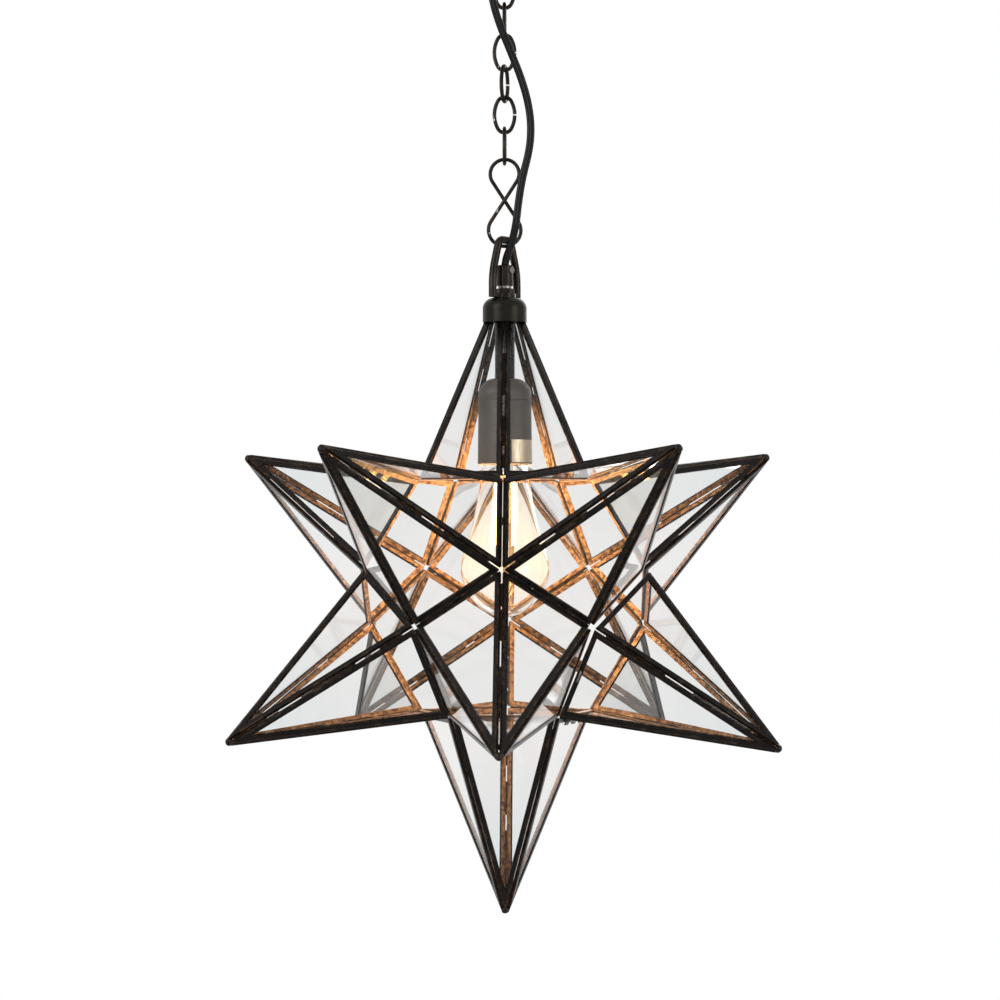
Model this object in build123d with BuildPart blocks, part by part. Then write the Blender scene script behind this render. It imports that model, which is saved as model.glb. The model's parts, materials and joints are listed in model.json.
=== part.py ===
"""Star pendant: a stellated glass lantern on a chain, hung from a ceiling canopy.

Millimetres. +Z is up and the origin is the middle of the canopy's ceiling face.
The front of the star looks along -Y.
"""

from build123d import *
from math import atan, cos, degrees, hypot, pi, radians, sin, sqrt, tan
import os

os.makedirs("parts", exist_ok=True)

# ---------------------------------------------------------------- driving dimensions
# Star: a dodecahedron core with a five-sided glass point on each of its twelve faces
core_edge = 76.5
apex_radius = 234.5
glass_thickness = 1.8
channel_width = 3.7
channel_thickness = 3.0
channel_web = 0.7
glass_clearance = 0.1
pane_gap = 0.15

# Solder
solder_cap_radius = 3.1
solder_cap_height = 3.0
solder_cap_taper = 25.0
tack_length = 7.0
tack_rise = 2.2
solder_gap = 0.05

# Cap and bow on the star's top point
cap_radius = 16.25
cap_height = 18.0
cap_shoulder = 8.0
cap_wall = 1.2
cap_seat_below_apex = 34.1
bow_section = 5.8
bow_spread = 27.0
bow_height = 42.5
bow_crown_width = 12.6
bow_crown_radius = 5.4
bow_waist_radius = 60.0
bow_base_thickness = 3.0
bow_boss_radius = 8.0
bow_waist_share = 0.42
bow_turn = 50.0
nipple_radius = 4.9
nipple_bore_radius = 3.5
nut_across_flats = 13.0
nut_height = 3.6
grip_radius = 6.1
grip_height = 15.2
grip_above_nut = 2.0
grip_screw_radius = 1.5
grip_screw_head_radius = 2.4
grip_screw_head_height = 1.2
thread_clearance = 0.05

# Lampholder on its stem
stem_radius = 6.95
holder_top_above_centre = 159.0
holder_split_above_centre = 143.0
holder_mouth_above_centre = 96.0
holder_top_radius = 19.1
holder_mouth_radius = 19.7
holder_wall = 1.5
holder_shoulder = 12.0
stem_in_holder = 6.0
shell_bore_radius = 13.45
shell_wall = 0.5
shell_length = 30.0
shell_above_mouth = 4.8
label_height = 16.6
label_start = 15.0
label_sweep = 72.0
label_thickness = 0.15
label_above_mouth = 1.2

# Bulb
bulb_radius = 32.0
bulb_neck_radius = 12.1
bulb_bottom_above_centre = -16.0
bulb_glass_wall = 0.8
# The bulb's radius, as a share of its widest, at each share of its drop below the holder's mouth
bulb_shares = [(0.56, 0.09), (0.80, 0.43), (1.0, 0.73)]
bulb_neck_slope = (0.25, -1)
bulb_cap_radius = 13.2
bulb_cap_wall = 0.4
bulb_cap_length = 24.0
bulb_contact_radius = 4.5
bulb_contact_height = 3.0
bulb_contact_taper = 12.0
bulb_stem_radius = 3.5
bulb_stem_length = 26.0
filament_length = 50.0
filament_radius = 1.1
filament_circle_radius = 9.5
filament_count = 4
filament_post_radius = 0.8

# Chain, figure-eight link and ceiling loop
link_wire = 2.9
link_length = 29.0
link_width = 17.8
link_end_radius = 5.6
link_gap = 1.0
# One turn about the hanging axis for each link, from the top
link_turns = [0, 90, 0, 73, 0, 90]
hang_clearance = 0.3
eight_wire = 2.8
eight_upper_width = 24.0
eight_lower_width = 26.5
eight_height = 66.6
eight_crossing_gap = 0.25
eight_corners_per_loop = 5
eight_roundness = 0.96
loop_wire = 3.0
loop_radius = 9.0
loop_collar_radius = 6.0
loop_collar_height = 8.0

# Ceiling canopy
canopy_radius = 52.0
canopy_height = 34.0
canopy_wall = 1.2
canopy_shoulder = 14.0
strap_length = 88.0
strap_width = 20.0
strap_thickness = 2.5
strap_hole_spacing = 60.0
strap_hole_radius = 2.6
strap_nut_across_flats = 15.7
strap_nut_height = 7.0
stud_radius = 4.9
grommet_radius = 7.0
grommet_flange_radius = 9.0
grommet_flange = 1.6
grommet_reach = 22.0
grommet_bearing = -118.0
terminal_length = 24.0
terminal_width = 12.0
terminal_height = 14.0
terminal_place = 24.0

# Cord
cord_radius = 2.9
cord_clearance = 0.3
cord_in_grip = 5.0
cord_above_grip = 3.0
cord_bend_share = 0.45
lead_radius = 2.6

# Hinged point, opposite the viewer's lower right, for changing the bulb
door_ajar = 1.8
hinge_knuckle_radius = 1.8
hinge_pin_radius = 0.9
hinge_pin_clearance = 0.06
hinge_leaf = 0.8
hinge_leaf_width = 4.4
hinge_length = 40.0
hinge_knuckle_count = 5
hinge_knuckle_gap = 0.3
hinge_pin_head = 0.8
hinge_seat = 0.06
pull_wire = 1.3
pull_length = 8.0
pull_reach = 4.0

# ---------------------------------------------------------------- the core's geometry
face_distance = core_edge / 2 * sqrt((25 + 11 * sqrt(5)) / 10)
face_circumradius = core_edge / (2 * sin(radians(36)))
face_inradius = core_edge / (2 * tan(radians(36)))
core_dihedral = 180 - degrees(atan(2))
point_height = apex_radius - face_distance
pane_slope = degrees(atan(point_height / face_inradius))
pane_height = hypot(point_height, face_inradius)
valley_half = (360 - core_dihedral - 2 * pane_slope) / 2
ridge_cosine = sin(radians(36)) * sin(radians(pane_slope))
ridge_half = degrees(atan(sqrt(1 - ridge_cosine**2) / ridge_cosine))
pane_inset = pane_gap + channel_thickness / 2 / tan(radians(min(valley_half, ridge_half)))
slot_height = glass_thickness + 2 * glass_clearance
face_tilt = 90 - degrees(atan(2))

# ---------------------------------------------------------------- heights, top to bottom
canopy_base_z = -canopy_height
loop_bottom_z = canopy_base_z - loop_collar_height - 2 * loop_radius
link_rise = link_length - link_wire
link_tops = []
hang_z = loop_bottom_z
hang_wire = loop_wire
for _ in link_turns:
    top_z = hang_z + (hang_wire + link_wire) / 2 + hang_clearance
    link_tops.append(top_z)
    hang_z = top_z - link_rise
    hang_wire = link_wire
eight_top_z = hang_z + (link_wire + eight_wire) / 2 + hang_clearance
eight_bottom_z = eight_top_z - (eight_height - eight_wire)
bow_top_z = eight_bottom_z + (eight_wire + bow_section) / 2 + hang_clearance
bow_base_z = bow_top_z - bow_height
cap_seat_z = bow_base_z - cap_height - solder_gap
centre_z = cap_seat_z - (apex_radius - cap_seat_below_apex)
nut_z = bow_base_z + bow_base_thickness
grip_z = nut_z + nut_height + grip_above_nut
grip_top_z = grip_z + grip_height
holder_top_z = centre_z + holder_top_above_centre
holder_split_z = centre_z + holder_split_above_centre
holder_mouth_z = centre_z + holder_mouth_above_centre
bulb_bottom_z = centre_z + bulb_bottom_above_centre

centre = Vector(0, 0, centre_z)


def point_plane(bearing, tilt):
    """A side point's base: +Z outwards along the point, and a base edge on its -Y side."""
    turn = radians(bearing)
    level = cos(radians(tilt))
    outward = Vector(sin(turn) * level, -cos(turn) * level, sin(radians(tilt)))
    across = Vector(cos(turn), sin(turn), 0)
    # An upper point has that edge at its top, and a lower point at its bottom.
    if tilt > 0:
        across = across * -1
    return Plane(origin=centre + outward * face_distance, x_dir=across, z_dir=outward)


def turned_plane(z, turn):
    """An upright plane through the hanging axis, turned about it from the front."""
    across = (cos(radians(turn)), sin(radians(turn)), 0)
    facing = (sin(radians(turn)), -cos(radians(turn)), 0)
    return Plane(origin=(0, 0, z), x_dir=across, z_dir=facing)


def round_bar(radius, low, high):
    """Half the outline of a round bar that stands on the hanging axis."""
    return Polygon((0, low), (radius, low), (radius, high), (0, high), align=None)


def wire_along(line, radius):
    """A round wire along a line."""
    with BuildPart() as wire:
        with BuildSketch(Plane(origin=line @ 0, z_dir=line % 0)):
            Circle(radius)
        sweep(path=line)
    return wire.part


def save_shape(shape, name):
    shape.label = name
    export_step(shape, f"parts/{name}.step")


def save(piece, name):
    save_shape(piece.part, name)


# The points: name, bearing of the point, tilt of the point. The top and bottom ones stand upright.
upper_bearings = {"front_left": -36, "front_right": 36, "left": -108, "right": 108, "back": 180}
lower_bearings = {"front": 0, "left": -72, "back_left": -144, "back_right": 144}
door_bearing = 72


# ---------------------------------------------------------------- one pane, lying flat
def pane_outline(inset):
    """A pane's triangle, drawn in by inset on all three sides. Its base edge is on X."""
    with BuildSketch() as outline:
        Polygon((-core_edge / 2, 0), (core_edge / 2, 0), (0, pane_height), align=None)
        offset(amount=-inset, kind=Kind.INTERSECTION)
    return outline.sketch


with BuildPart() as flat_channel:
    with BuildSketch(Plane.XY.offset(-channel_thickness / 2)):
        add(pane_outline(pane_inset))
        add(pane_outline(pane_inset + channel_width), mode=Mode.SUBTRACT)
    extrude(amount=channel_thickness)
    with BuildSketch(Plane.XY.offset(-slot_height / 2)):
        add(pane_outline(pane_inset + channel_web))
    extrude(amount=slot_height, mode=Mode.SUBTRACT)

with BuildPart() as flat_glass:
    with BuildSketch(Plane.XY.offset(-glass_thickness / 2)):
        add(pane_outline(pane_inset + channel_web + 2 * glass_clearance))
    extrude(amount=glass_thickness)

# Five panes leaning in over a base that lies in XY, with the point along +Z.
pane_seats = []
for side in range(5):
    outward = Vector(sin(radians(72 * side)), -cos(radians(72 * side)), 0)
    along = Vector(cos(radians(72 * side)), sin(radians(72 * side)), 0)
    normal = outward * sin(radians(pane_slope)) + Vector(0, 0, cos(radians(pane_slope)))
    pane_seats.append(Plane(origin=outward * face_inradius, x_dir=along, z_dir=normal))

with BuildPart() as point_channels:
    with Locations(*[seat.location for seat in pane_seats]):
        add(flat_channel.part)

with BuildPart() as point_glass:
    with Locations(*[seat.location for seat in pane_seats]):
        add(flat_glass.part)


def save_point(plane, name):
    """One whole glass point: its five came frames and its five panes."""
    with BuildPart() as frames:
        with Locations(plane.location):
            add(point_channels.part)
    save(frames, f"{name}_frames")
    with BuildPart() as panes:
        with Locations(plane.location):
            add(point_glass.part)
    save(panes, f"{name}_glass")


for name, bearing in upper_bearings.items():
    save_point(point_plane(bearing, face_tilt), f"upper_{name}")
for name, bearing in lower_bearings.items():
    save_point(point_plane(bearing, -face_tilt), f"lower_{name}")

bottom_plane = Plane(origin=centre - Vector(0, 0, face_distance), x_dir=(-1, 0, 0), z_dir=(0, 0, -1))
save_point(bottom_plane, "bottom_point")

# The top point is cut off flat under the cap.
top_plane = Plane(origin=centre + Vector(0, 0, face_distance), x_dir=(-1, 0, 0), z_dir=(0, 0, 1))
for shape, name in ((point_channels, "top_point_frames"), (point_glass, "top_point_glass")):
    with BuildPart() as top_point:
        with Locations(top_plane.location):
            add(shape.part)
        split(bisect_by=Plane.XY.offset(cap_seat_z - solder_gap), keep=Keep.BOTTOM)
    save(top_point, name)

# ---------------------------------------------------------------- the hinged point
door_plane = point_plane(door_bearing, -face_tilt)
# The hinge lies in the valley under the door, touching the channels on both sides.
hinge_offset = channel_thickness / 2 + hinge_seat + hinge_knuckle_radius
hinge_from_edge = hinge_offset / sin(radians(valley_half))
door_edge = door_plane.from_local_coords(Vector(0, -face_inradius, 0))
valley_out = (door_edge - centre).normalized()
hinge_axis_point = door_edge + valley_out * hinge_from_edge
hinge_direction = door_plane.x_dir
hinge_axis = Axis(hinge_axis_point, hinge_direction)

for shape, name in ((point_channels, "door_frames"), (point_glass, "door_glass")):
    with BuildPart() as door_point:
        with Locations(door_plane.location):
            add(shape.part)
    save_shape(door_point.part.rotate(hinge_axis, door_ajar), name)

# A leaf lies on the channel next to the valley, in that pane's own plane.
knuckle_pitch = hinge_length / hinge_knuckle_count
knuckle_length = knuckle_pitch - hinge_knuckle_gap


def hinge_half(pane_normal, knuckles):
    """The knuckles of one side, each with its leaf on the outside of that side's channel."""
    inward = pane_normal.cross(hinge_direction)
    if inward.dot(valley_out) < 0:
        inward = inward * -1
    across = Plane(origin=hinge_axis_point, x_dir=inward, z_dir=inward.cross(pane_normal))
    with BuildPart() as half:
        for knuckle in knuckles:
            middle = (knuckle - (hinge_knuckle_count - 1) / 2) * knuckle_pitch
            with BuildSketch(across.offset(middle - knuckle_length / 2)):
                Circle(hinge_knuckle_radius)
                with Locations((hinge_leaf_width / 2, -hinge_knuckle_radius + hinge_leaf / 2)):
                    Rectangle(hinge_leaf_width, hinge_leaf)
                Circle(hinge_pin_radius + hinge_pin_clearance, mode=Mode.SUBTRACT)
            extrude(amount=knuckle_length)
    return half.part


def edge_pane_normal(plane):
    """The outward normal of a point's pane that stands on its base edge at -Y."""
    return plane.z_dir * cos(radians(pane_slope)) - plane.y_dir * sin(radians(pane_slope))


fixed_side_normal = Vector(
    sin(radians(door_bearing)) * sin(radians(pane_slope)),
    -cos(radians(door_bearing)) * sin(radians(pane_slope)),
    -cos(radians(pane_slope)),
)
door_leaves = hinge_half(edge_pane_normal(door_plane), range(1, hinge_knuckle_count, 2))
save_shape(door_leaves.rotate(hinge_axis, door_ajar), "door_hinge_leaves")
fixed_leaves = hinge_half(fixed_side_normal, range(0, hinge_knuckle_count, 2))
save_shape(fixed_leaves, "fixed_hinge_leaves")

pin_half = hinge_length / 2 - hinge_knuckle_gap / 2 + hinge_seat
pin_middle = Plane(origin=hinge_axis_point, z_dir=hinge_direction)
with BuildPart() as hinge_pin:
    with BuildSketch(pin_middle.offset(-pin_half)):
        Circle(hinge_pin_radius)
    extrude(amount=2 * pin_half)
    with BuildSketch(pin_middle.offset(-pin_half - hinge_pin_head)):
        Circle(hinge_knuckle_radius)
    extrude(amount=hinge_pin_head)
    with BuildSketch(pin_middle.offset(pin_half)):
        Circle(hinge_knuckle_radius)
    extrude(amount=hinge_pin_head)
save(hinge_pin, "hinge_pin")

# The finger pull is a wire staple on the door's pane that faces the front point.
pull_seat = Plane(door_plane.location * pane_seats[4].location)
pull_foot = Vector(0, pane_inset + channel_width / 2, channel_thickness / 2 + solder_gap)
pull_base = Plane(
    origin=pull_seat.from_local_coords(pull_foot),
    x_dir=pull_seat.x_dir,
    z_dir=pull_seat.z_dir.cross(pull_seat.x_dir) * -1,
)
with BuildLine(pull_base) as staple:
    FilletPolyline(
        (-pull_length / 2, 0),
        (-pull_length / 2, pull_reach),
        (pull_length / 2, pull_reach),
        (pull_length / 2, 0),
        radius=pull_wire,
    )
door_pull = wire_along(staple.line, pull_wire / 2)
save_shape(door_pull.rotate(hinge_axis, door_ajar), "door_pull")

# ---------------------------------------------------------------- solder
all_planes = [point_plane(bearing, face_tilt) for bearing in upper_bearings.values()]
all_planes += [point_plane(bearing, -face_tilt) for bearing in lower_bearings.values()]
all_planes.append(bottom_plane)

# A solder cap closes each tip just beyond the ends of its five frames.
channel_tip = pane_inset / sin(atan(core_edge / 2 / pane_height))
cap_from_apex = channel_tip * sin(radians(pane_slope)) - channel_thickness / 2 * cos(radians(pane_slope))
cap_base_height = point_height - cap_from_apex + solder_gap


def solder_cap(plane):
    """A blunt cone of solder on a point's tip."""
    with BuildPart() as tip:
        with BuildSketch(plane.offset(cap_base_height)):
            Circle(solder_cap_radius)
        extrude(amount=solder_cap_height, taper=solder_cap_taper)
        fillet(tip.edges().group_by(Axis(plane.origin, plane.z_dir))[-1], solder_cap_height / 5)
    return tip.part


def solder_tack(first, second):
    """A wedge of solder in the valley between two points, on the outside of their channels."""
    middle = (first + second) * 0.5
    rise = (middle - centre).normalized()
    run = (second - first).normalized()
    root = (channel_thickness / 2 + solder_gap) / sin(radians(valley_half))
    across = Plane(origin=middle - run * tack_length / 2, x_dir=rise, z_dir=run)
    flare = tack_rise * tan(radians(valley_half))
    with BuildPart() as tack:
        with BuildSketch(across):
            Polygon((root, 0), (root + tack_rise, flare), (root + tack_rise, -flare), align=None)
        extrude(amount=tack_length)
    return tack.part


# The core's corners, as each point's base sees them, give the thirty valleys.
def base_corners(plane):
    corners = []
    for corner in range(5):
        angle = radians(72 * corner + 90)
        spot = Vector(face_circumradius * cos(angle), face_circumradius * sin(angle), 0)
        corners.append(plane.from_local_coords(spot))
    return corners


door_corners = base_corners(door_plane)
valleys = []
for plane in [*all_planes, top_plane]:
    corners = base_corners(plane)
    for corner in range(5):
        first = corners[corner]
        second = corners[(corner + 1) % 5]
        middle = (first + second) * 0.5
        on_door = any(((a + b) * 0.5 - middle).length < 1 for a in door_corners for b in door_corners)
        known = any(((a + b) * 0.5 - middle).length < 1 for a, b in valleys)
        if not on_door and not known:
            valleys.append((first, second))

with BuildPart() as solder_joints:
    for plane in all_planes:
        add(solder_cap(plane))
    for first, second in valleys:
        add(solder_tack(first, second))
save(solder_joints, "solder_joints")
save_shape(solder_cap(door_plane).rotate(hinge_axis, door_ajar), "door_solder_cap")

# ---------------------------------------------------------------- cap, bow, nipple, nut and grip
with BuildPart() as top_cap:
    with BuildSketch(Plane.XZ) as cap_profile:
        round_bar(cap_radius, cap_seat_z, cap_seat_z + cap_height)
        fillet(cap_profile.vertices().group_by(Axis.X)[-1].sort_by(Axis.Y)[-1], cap_shoulder)
    revolve(axis=Axis.Z)
    with BuildSketch(Plane.XY.offset(cap_seat_z + cap_wall)):
        Circle(cap_radius - cap_wall)
    extrude(amount=cap_height - cap_wall - cap_shoulder, mode=Mode.SUBTRACT)
    with BuildSketch(Plane.XY.offset(cap_seat_z)):
        Circle(stem_radius + thread_clearance)
    extrude(amount=cap_height - cap_shoulder, mode=Mode.SUBTRACT)
    with BuildSketch(Plane.XY.offset(cap_seat_z)):
        Circle(nipple_radius + thread_clearance)
    extrude(amount=cap_height, mode=Mode.SUBTRACT)
save(top_cap, "top_cap")

bow_plane = turned_plane(bow_base_z, bow_turn)
with BuildLine(bow_plane) as bow_path:
    half_spread = bow_spread / 2
    half_crown = bow_crown_width / 2
    waist = bow_waist_share * bow_height
    FilletPolyline(
        (-half_spread, bow_base_thickness / 2),
        (-half_spread, waist),
        (-half_crown, bow_height),
        (half_crown, bow_height),
        (half_spread, waist),
        (half_spread, bow_base_thickness / 2),
        radius=[bow_waist_radius, bow_crown_radius, bow_crown_radius, bow_waist_radius],
    )
with BuildPart() as bow:
    add(wire_along(bow_path.line, bow_section / 2))
    with BuildSketch(Plane(origin=(0, 0, bow_base_z), x_dir=bow_plane.x_dir, z_dir=(0, 0, 1))):
        SlotCenterToCenter(bow_spread, bow_section)
        Circle(bow_boss_radius)
    extrude(amount=bow_base_thickness)
    with BuildSketch(Plane.XY.offset(bow_base_z)):
        Circle(nipple_radius + thread_clearance)
    extrude(amount=bow_base_thickness, mode=Mode.SUBTRACT)
save(bow, "suspension_bow")

with BuildPart() as lock_nut:
    with BuildSketch(Plane.XY.offset(nut_z + solder_gap)):
        RegularPolygon(nut_across_flats / 2, 6, major_radius=False)
        Circle(nipple_radius + thread_clearance, mode=Mode.SUBTRACT)
    extrude(amount=nut_height)
    chamfer(lock_nut.edges().group_by(Axis.Z)[-1].filter_by(GeomType.LINE), nut_height / 8)
save(lock_nut, "lock_nut")

nipple_foot_z = cap_seat_z - nipple_radius
nipple_top_z = grip_z + grip_height / 2
with BuildPart() as nipple:
    with BuildSketch(Plane.XY.offset(nipple_foot_z)):
        Circle(nipple_radius)
        Circle(nipple_bore_radius, mode=Mode.SUBTRACT)
    extrude(amount=nipple_top_z - nipple_foot_z)
save(nipple, "threaded_nipple")

screw_z = grip_top_z - grip_height / 4
screw_plane = turned_plane(screw_z, bow_turn)
screw_tip = cord_radius + 2 * cord_clearance
with BuildPart() as cord_grip:
    with BuildSketch(Plane.XY.offset(grip_z)):
        Circle(grip_radius)
        Circle(cord_radius + cord_clearance, mode=Mode.SUBTRACT)
    extrude(amount=grip_height)
    with BuildSketch(Plane.XY.offset(grip_z)):
        Circle(nipple_radius + thread_clearance)
    extrude(amount=nipple_top_z - grip_z + solder_gap, mode=Mode.SUBTRACT)
    with BuildSketch(screw_plane):
        Circle(grip_screw_radius + thread_clearance)
    extrude(amount=2 * grip_radius, mode=Mode.SUBTRACT)
    top_rims = cord_grip.edges().filter_by(GeomType.CIRCLE).group_by(Axis.Z)[-1]
    chamfer(top_rims.sort_by(SortBy.RADIUS)[-1], cap_wall / 2)
save(cord_grip, "cord_grip")

with BuildPart() as grip_screw:
    with BuildSketch(screw_plane.offset(screw_tip)):
        Circle(grip_screw_radius)
    extrude(amount=grip_radius - screw_tip + solder_gap)
    with BuildSketch(screw_plane.offset(grip_radius + solder_gap)):
        Circle(grip_screw_head_radius)
    extrude(amount=grip_screw_head_height)
save(grip_screw, "grip_screw")

# ---------------------------------------------------------------- stem and lampholder
stem_top_z = cap_seat_z + cap_height - cap_shoulder - solder_gap
with BuildPart() as stem:
    with BuildSketch(Plane.XY.offset(holder_top_z - stem_in_holder)):
        Circle(stem_radius)
        Circle(nipple_radius + thread_clearance, mode=Mode.SUBTRACT)
    extrude(amount=stem_top_z - holder_top_z + stem_in_holder)
save(stem, "stem_tube")

with BuildPart() as holder_dome:
    with BuildSketch(Plane.XZ) as dome_profile:
        round_bar(holder_top_radius, holder_split_z, holder_top_z)
        fillet(dome_profile.vertices().group_by(Axis.X)[-1].sort_by(Axis.Y)[-1], holder_shoulder)
    revolve(axis=Axis.Z)
    offset(amount=-holder_wall, openings=holder_dome.faces().sort_by(Axis.Z)[0])
    with BuildSketch(Plane.XY.offset(holder_split_z)):
        Circle(stem_radius + thread_clearance)
    extrude(amount=holder_top_z - holder_split_z, mode=Mode.SUBTRACT)
save(holder_dome, "lampholder_dome")


def skirt_radius(z):
    """The skirt widens a little from its split line to its mouth."""
    share = (holder_split_z - z) / (holder_split_z - holder_mouth_z)
    return holder_top_radius + share * (holder_mouth_radius - holder_top_radius)


skirt_top_z = holder_split_z - solder_gap
with BuildPart() as holder_skirt:
    with BuildSketch(Plane.XZ) as skirt_profile:
        Polygon(
            (skirt_radius(holder_mouth_z), holder_mouth_z),
            (skirt_radius(skirt_top_z), skirt_top_z),
            (skirt_radius(skirt_top_z) - holder_wall, skirt_top_z),
            (skirt_radius(holder_mouth_z) - holder_wall, holder_mouth_z),
            align=None,
        )
        chamfer(skirt_profile.vertices().sort_by(Axis.X)[-2:], holder_wall / 5)
    revolve(axis=Axis.Z)
save(holder_skirt, "lampholder_skirt")

shell_top_z = holder_mouth_z + shell_above_mouth + shell_length
with BuildPart() as screw_shell:
    with BuildSketch(Plane.XY.offset(shell_top_z)):
        Circle(holder_top_radius - holder_wall - cord_clearance)
    extrude(amount=holder_wall)
    with BuildSketch(Plane.XY.offset(shell_top_z - shell_length)):
        Circle(shell_bore_radius + shell_wall)
        Circle(shell_bore_radius, mode=Mode.SUBTRACT)
    extrude(amount=shell_length)
save(screw_shell, "lampholder_screw_shell")

label_low_z = holder_mouth_z + label_above_mouth
label_high_z = label_low_z + label_height
label_low = skirt_radius(label_low_z) + solder_gap
label_high = skirt_radius(label_high_z) + solder_gap
with BuildPart() as label:
    with BuildSketch(Plane.XZ.rotated((0, 0, label_start))):
        Polygon(
            (label_low, label_low_z),
            (label_high, label_high_z),
            (label_high + label_thickness, label_high_z),
            (label_low + label_thickness, label_low_z),
            align=None,
        )
    revolve(axis=Axis.Z, revolution_arc=label_sweep)
save_shape(label.part.rotate(Axis.Z, -90), "lampholder_label")

# ---------------------------------------------------------------- bulb
# The bulb's cap ends at the holder's mouth, with its contact just under the shell's flange.
bulb_contact_top_z = shell_top_z - solder_gap
bulb_cap_top_z = bulb_contact_top_z - bulb_contact_height
bulb_cap_foot_z = bulb_cap_top_z - bulb_cap_length
with BuildPart() as bulb_cap:
    with BuildSketch(Plane.XY.offset(bulb_cap_foot_z)):
        Circle(bulb_cap_radius)
    extrude(amount=bulb_cap_length)
    with BuildSketch(Plane.XY.offset(bulb_cap_foot_z)):
        Circle(bulb_cap_radius - bulb_cap_wall)
    extrude(amount=bulb_cap_length - bulb_glass_wall, mode=Mode.SUBTRACT)
    fillet(bulb_cap.edges().group_by(Axis.Z)[-1], bulb_cap_wall * 3)
save(bulb_cap, "bulb_screw_cap")

with BuildPart() as bulb_contact:
    with BuildSketch(Plane.XY.offset(bulb_cap_top_z + solder_gap)):
        Circle(bulb_contact_radius)
    extrude(amount=bulb_contact_height - solder_gap, taper=bulb_contact_taper)
save(bulb_contact, "bulb_contact")

neck_top_z = bulb_cap_foot_z + bulb_cap_length / 3
bulb_glass_drop = holder_mouth_z - bulb_bottom_z


def bulb_outline(inset):
    """The bulb's teardrop from its neck to its lowest point, drawn in by inset."""
    points = [(bulb_neck_radius - inset, bulb_cap_foot_z - inset)]
    for radius_share, drop_share in bulb_shares:
        points.append((bulb_radius * radius_share - inset, holder_mouth_z - drop_share * bulb_glass_drop))
    points.append((0, bulb_bottom_z + inset))
    return points


outer_outline = bulb_outline(0)
inner_outline = bulb_outline(bulb_glass_wall)
with BuildPart() as envelope:
    with BuildSketch(Plane.XZ):
        with BuildLine():
            for outline in (outer_outline, inner_outline):
                Line((outline[0][0], neck_top_z), outline[0])
                Spline(*outline, tangents=(bulb_neck_slope, (-1, 0)))
            Line((outer_outline[0][0], neck_top_z), (inner_outline[0][0], neck_top_z))
            Line(outer_outline[-1], inner_outline[-1])
        make_face()
    revolve(axis=Axis.Z)
save(envelope, "bulb_envelope")

flare_radius = bulb_neck_radius - bulb_glass_wall - cord_clearance
bulb_stem_foot_z = neck_top_z - bulb_stem_length
with BuildPart() as bulb_stem:
    with BuildSketch(Plane.XY.offset(neck_top_z - bulb_glass_wall)):
        Circle(flare_radius)
    extrude(amount=bulb_glass_wall)
    with BuildSketch(Plane.XY.offset(bulb_stem_foot_z)):
        Circle(bulb_stem_radius)
    extrude(amount=bulb_stem_length - bulb_glass_wall)
save(bulb_stem, "bulb_glass_stem")

with BuildPart() as filaments:
    cage_top_z = bulb_stem_foot_z - solder_gap
    hub_thickness = bulb_glass_wall
    cage_foot_z = cage_top_z - filament_length - 2 * hub_thickness
    with BuildSketch(Plane.XY.offset(cage_foot_z)):
        Circle(filament_post_radius)
    extrude(amount=cage_top_z - cage_foot_z)
    for hub_z in (cage_foot_z, cage_top_z - hub_thickness):
        with BuildSketch(Plane.XY.offset(hub_z)):
            with PolarLocations(0, filament_count // 2, start_angle=45, angular_range=180):
                SlotCenterToCenter(2 * filament_circle_radius, 2 * filament_post_radius)
        extrude(amount=hub_thickness)
    with BuildSketch(Plane.XY.offset(cage_foot_z + hub_thickness)):
        with PolarLocations(filament_circle_radius, filament_count, start_angle=45):
            Circle(filament_radius)
    extrude(amount=filament_length)
save(filaments, "filament_cage")

# ---------------------------------------------------------------- chain
def oval_link(top_z, turn):
    """An open oval link of round wire, with its gap half way down one side."""
    half_length = link_rise / 2
    half_width = (link_width - link_wire) / 2
    end_drop = half_length - link_end_radius
    side_radius = (end_drop**2 + half_width**2 - link_end_radius**2) / (2 * (half_width - link_end_radius))
    side_centre = side_radius - half_width
    side_angle = degrees(atan(end_drop / side_centre))
    gap_angle = degrees(link_gap / 2 / side_radius)
    with BuildLine(turned_plane(top_z - half_length, turn)) as path:
        CenterArc((-side_centre, 0), side_radius, gap_angle, side_angle - gap_angle)
        CenterArc((0, end_drop), link_end_radius, side_angle, 180 - 2 * side_angle)
        CenterArc((side_centre, 0), side_radius, 180 - side_angle, 2 * side_angle)
        CenterArc((0, -end_drop), link_end_radius, 180 + side_angle, 180 - 2 * side_angle)
        CenterArc((-side_centre, 0), side_radius, -side_angle, side_angle - gap_angle)
    return wire_along(path.line, link_wire / 2)


for number, (top_z, turn) in enumerate(zip(link_tops, link_turns), start=1):
    save_shape(oval_link(top_z, turn), f"chain_link_{number}")

# ---------------------------------------------------------------- figure-eight link
strand_offset = (eight_wire + eight_crossing_gap) / 2
upper_radius = (eight_upper_width - eight_wire) / 2
lower_radius = (eight_lower_width - eight_wire) / 2
upper_centre_z = eight_top_z - upper_radius
lower_centre_z = eight_bottom_z + lower_radius
centre_rise = upper_centre_z - lower_centre_z
crossing_z = lower_centre_z + centre_rise * lower_radius / (upper_radius + lower_radius)


def eight_loop(centre_height, radius, direction):
    """Corners round one loop, from its right side over its far end to its left side."""
    reach = abs(crossing_z - centre_height)
    lean = degrees(atan(radius / sqrt(reach**2 - radius**2)))
    turn = (180 + 2 * lean) / eight_corners_per_loop
    corner_radius = radius / cos(radians(turn / 2))
    corners = []
    for corner in range(eight_corners_per_loop):
        angle = radians(-lean + turn / 2 + corner * turn)
        share = corner / (eight_corners_per_loop - 1)
        depth = strand_offset * (2 * share - 1)
        rise = direction * corner_radius * sin(angle)
        corners.append((corner_radius * cos(angle), depth, centre_height + rise))
    return corners


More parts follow.
